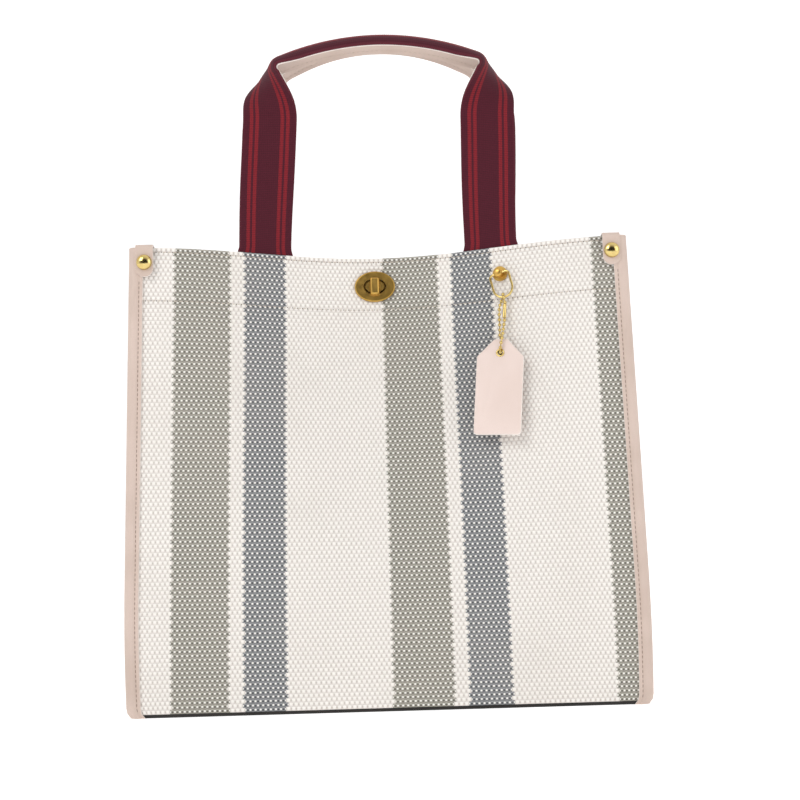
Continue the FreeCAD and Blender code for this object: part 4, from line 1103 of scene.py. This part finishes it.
# ---------------------------------------------------------------- studio
# A white sweep, three soft boxes and a sky that darkens downwards. The camera sees the sky as plain white,
# and the metal sees a dark room on the camera's side, as it needs something darker to reflect.
sweep_half = 9.0
sweep_near = -6.0
sweep_far = 12.0
sweep_flat = 4.0
sweep_bend = 2.0
bpy.ops.object.select_all(action="DESELECT")
bpy.ops.mesh.primitive_grid_add(x_subdivisions=2, y_subdivisions=40, size=2)
sweep = bpy.context.object
sweep.name = "studio_sweep"


def sweep_place(across, up):
    x = (2 * across - 1) * sweep_half
    run = mix(sweep_near, sweep_far, up)
    if run < sweep_flat:
        return Vector((x, run, 0.0))
    angle = min((run - sweep_flat) / sweep_bend, math.pi / 2)
    rise = sweep_bend * (1 - math.cos(angle)) + max(0.0, run - sweep_flat - sweep_bend * math.pi / 2)
    return Vector((x, sweep_flat + sweep_bend * math.sin(angle), rise))


shape(sweep, sweep_place)
smooth(sweep, 60)
paper = Finish("white_paper", Roughness=0.9, Base_Color=(0.92, 0.92, 0.92, 1.0), Emission_Strength=0.42)
dress(sweep, paper.wear(Emission_Color=(1.0, 1.0, 1.0, 1.0)))

sky = bpy.data.worlds.new("studio_sky")
bpy.context.scene.world = sky
sky.use_nodes = True
sky_tree = sky.node_tree
sky_light = sky_tree.nodes["Background"]
sky_light.inputs["Strength"].default_value = 0.70
sky_seen = sky_tree.nodes.new("ShaderNodeBackground")
sky_seen.inputs["Color"].default_value = (1.0, 1.0, 1.0, 1.0)
sky_ray = sky_tree.nodes.new("ShaderNodeLightPath")
sky_mix = sky_tree.nodes.new("ShaderNodeMixShader")
sky_place = sky_tree.nodes.new("ShaderNodeTexCoord")
sky_split = sky_tree.nodes.new("ShaderNodeSeparateXYZ")
sky_ramp = sky_tree.nodes.new("ShaderNodeValToRGB")
sky_ramp.color_ramp.elements[0].color = (0.45, 0.44, 0.43, 1.0)
sky_ramp.color_ramp.elements[1].color = (1.0, 1.0, 1.0, 1.0)
sky_ramp.color_ramp.elements[1].position = 0.6
sky_tree.links.new(sky_place.outputs["Generated"], sky_split.inputs[0])
sky_tree.links.new(sky_split.outputs["Z"], sky_ramp.inputs[0])
sky_tree.links.new(sky_ramp.outputs[0], sky_light.inputs["Color"])
room_ramp = sky_tree.nodes.new("ShaderNodeValToRGB")
room_ramp.color_ramp.elements[0].position = 0.12
room_ramp.color_ramp.elements[0].color = (0.03, 0.03, 0.03, 1.0)
room_ramp.color_ramp.elements[1].position = 0.42
room_ramp.color_ramp.elements[1].color = (1.0, 1.0, 1.0, 1.0)
room_side = sky_tree.nodes.new("ShaderNodeMath")
room_side.operation = "ADD"
room_side.inputs[1].default_value = 1.0
sky_tree.links.new(sky_split.outputs["Y"], room_side.inputs[0])
sky_tree.links.new(room_side.outputs[0], room_ramp.inputs[0])
room = sky_tree.nodes.new("ShaderNodeBackground")
sky_tree.links.new(room_ramp.outputs[0], room.inputs["Color"])
room_mix = sky_tree.nodes.new("ShaderNodeMixShader")
sky_tree.links.new(sky_ray.outputs["Is Glossy Ray"], room_mix.inputs[0])
sky_tree.links.new(sky_light.outputs[0], room_mix.inputs[1])
sky_tree.links.new(room.outputs[0], room_mix.inputs[2])
sky_tree.links.new(sky_ray.outputs["Is Camera Ray"], sky_mix.inputs[0])
sky_tree.links.new(room_mix.outputs[0], sky_mix.inputs[1])
sky_tree.links.new(sky_seen.outputs[0], sky_mix.inputs[2])
sky_tree.links.new(sky_mix.outputs[0], sky_tree.nodes["World Output"].inputs["Surface"])

soft_boxes = (
    ("key_box", (-1.3, -1.7, 1.7), 1.2, 18.0),
    ("fill_box", (1.7, -1.4, 0.9), 1.4, 8.5),
    ("back_box", (0.3, 1.6, 1.9), 1.4, 8.0),
)
aim = Vector((0, 0, 0.2))
for name, place, wide, watts in soft_boxes:
    lamp = bpy.data.lights.new(name, "AREA")
    lamp.size = wide
    lamp.energy = watts
    holder = bpy.data.objects.new(name, lamp)
    bpy.context.scene.collection.objects.link(holder)
    holder.location = place
    holder.rotation_mode = "QUATERNION"
    holder.rotation_quaternion = (aim - Vector(place)).to_track_quat("-Z", "Y")

# the camera stands straight in front and low, looks up a little, and is held a touch out of level
camera_spot = (0.00075, -1.22794, 0.12877)
camera = bpy.data.objects.new("camera", bpy.data.cameras.new("camera"))
bpy.context.scene.collection.objects.link(camera)
yaw = 0.0097
pitch = 0.0674
roll = -0.028
forward = Vector((math.sin(yaw) * math.cos(pitch), math.cos(yaw) * math.cos(pitch), math.sin(pitch)))
level = Vector((math.cos(yaw), -math.sin(yaw), 0))
upright = level.cross(forward)
right = level * math.cos(roll) + upright * math.sin(roll)
top = upright * math.cos(roll) - level * math.sin(roll)
camera_turn = Matrix((right, top, -forward)).transposed().to_4x4()
camera.matrix_world = Matrix.Translation(camera_spot) @ camera_turn
camera.data.sensor_width = 36.0
camera.data.lens = 77.95
bpy.context.scene.camera = camera
bpy.context.scene.view_settings.view_transform = "Standard"
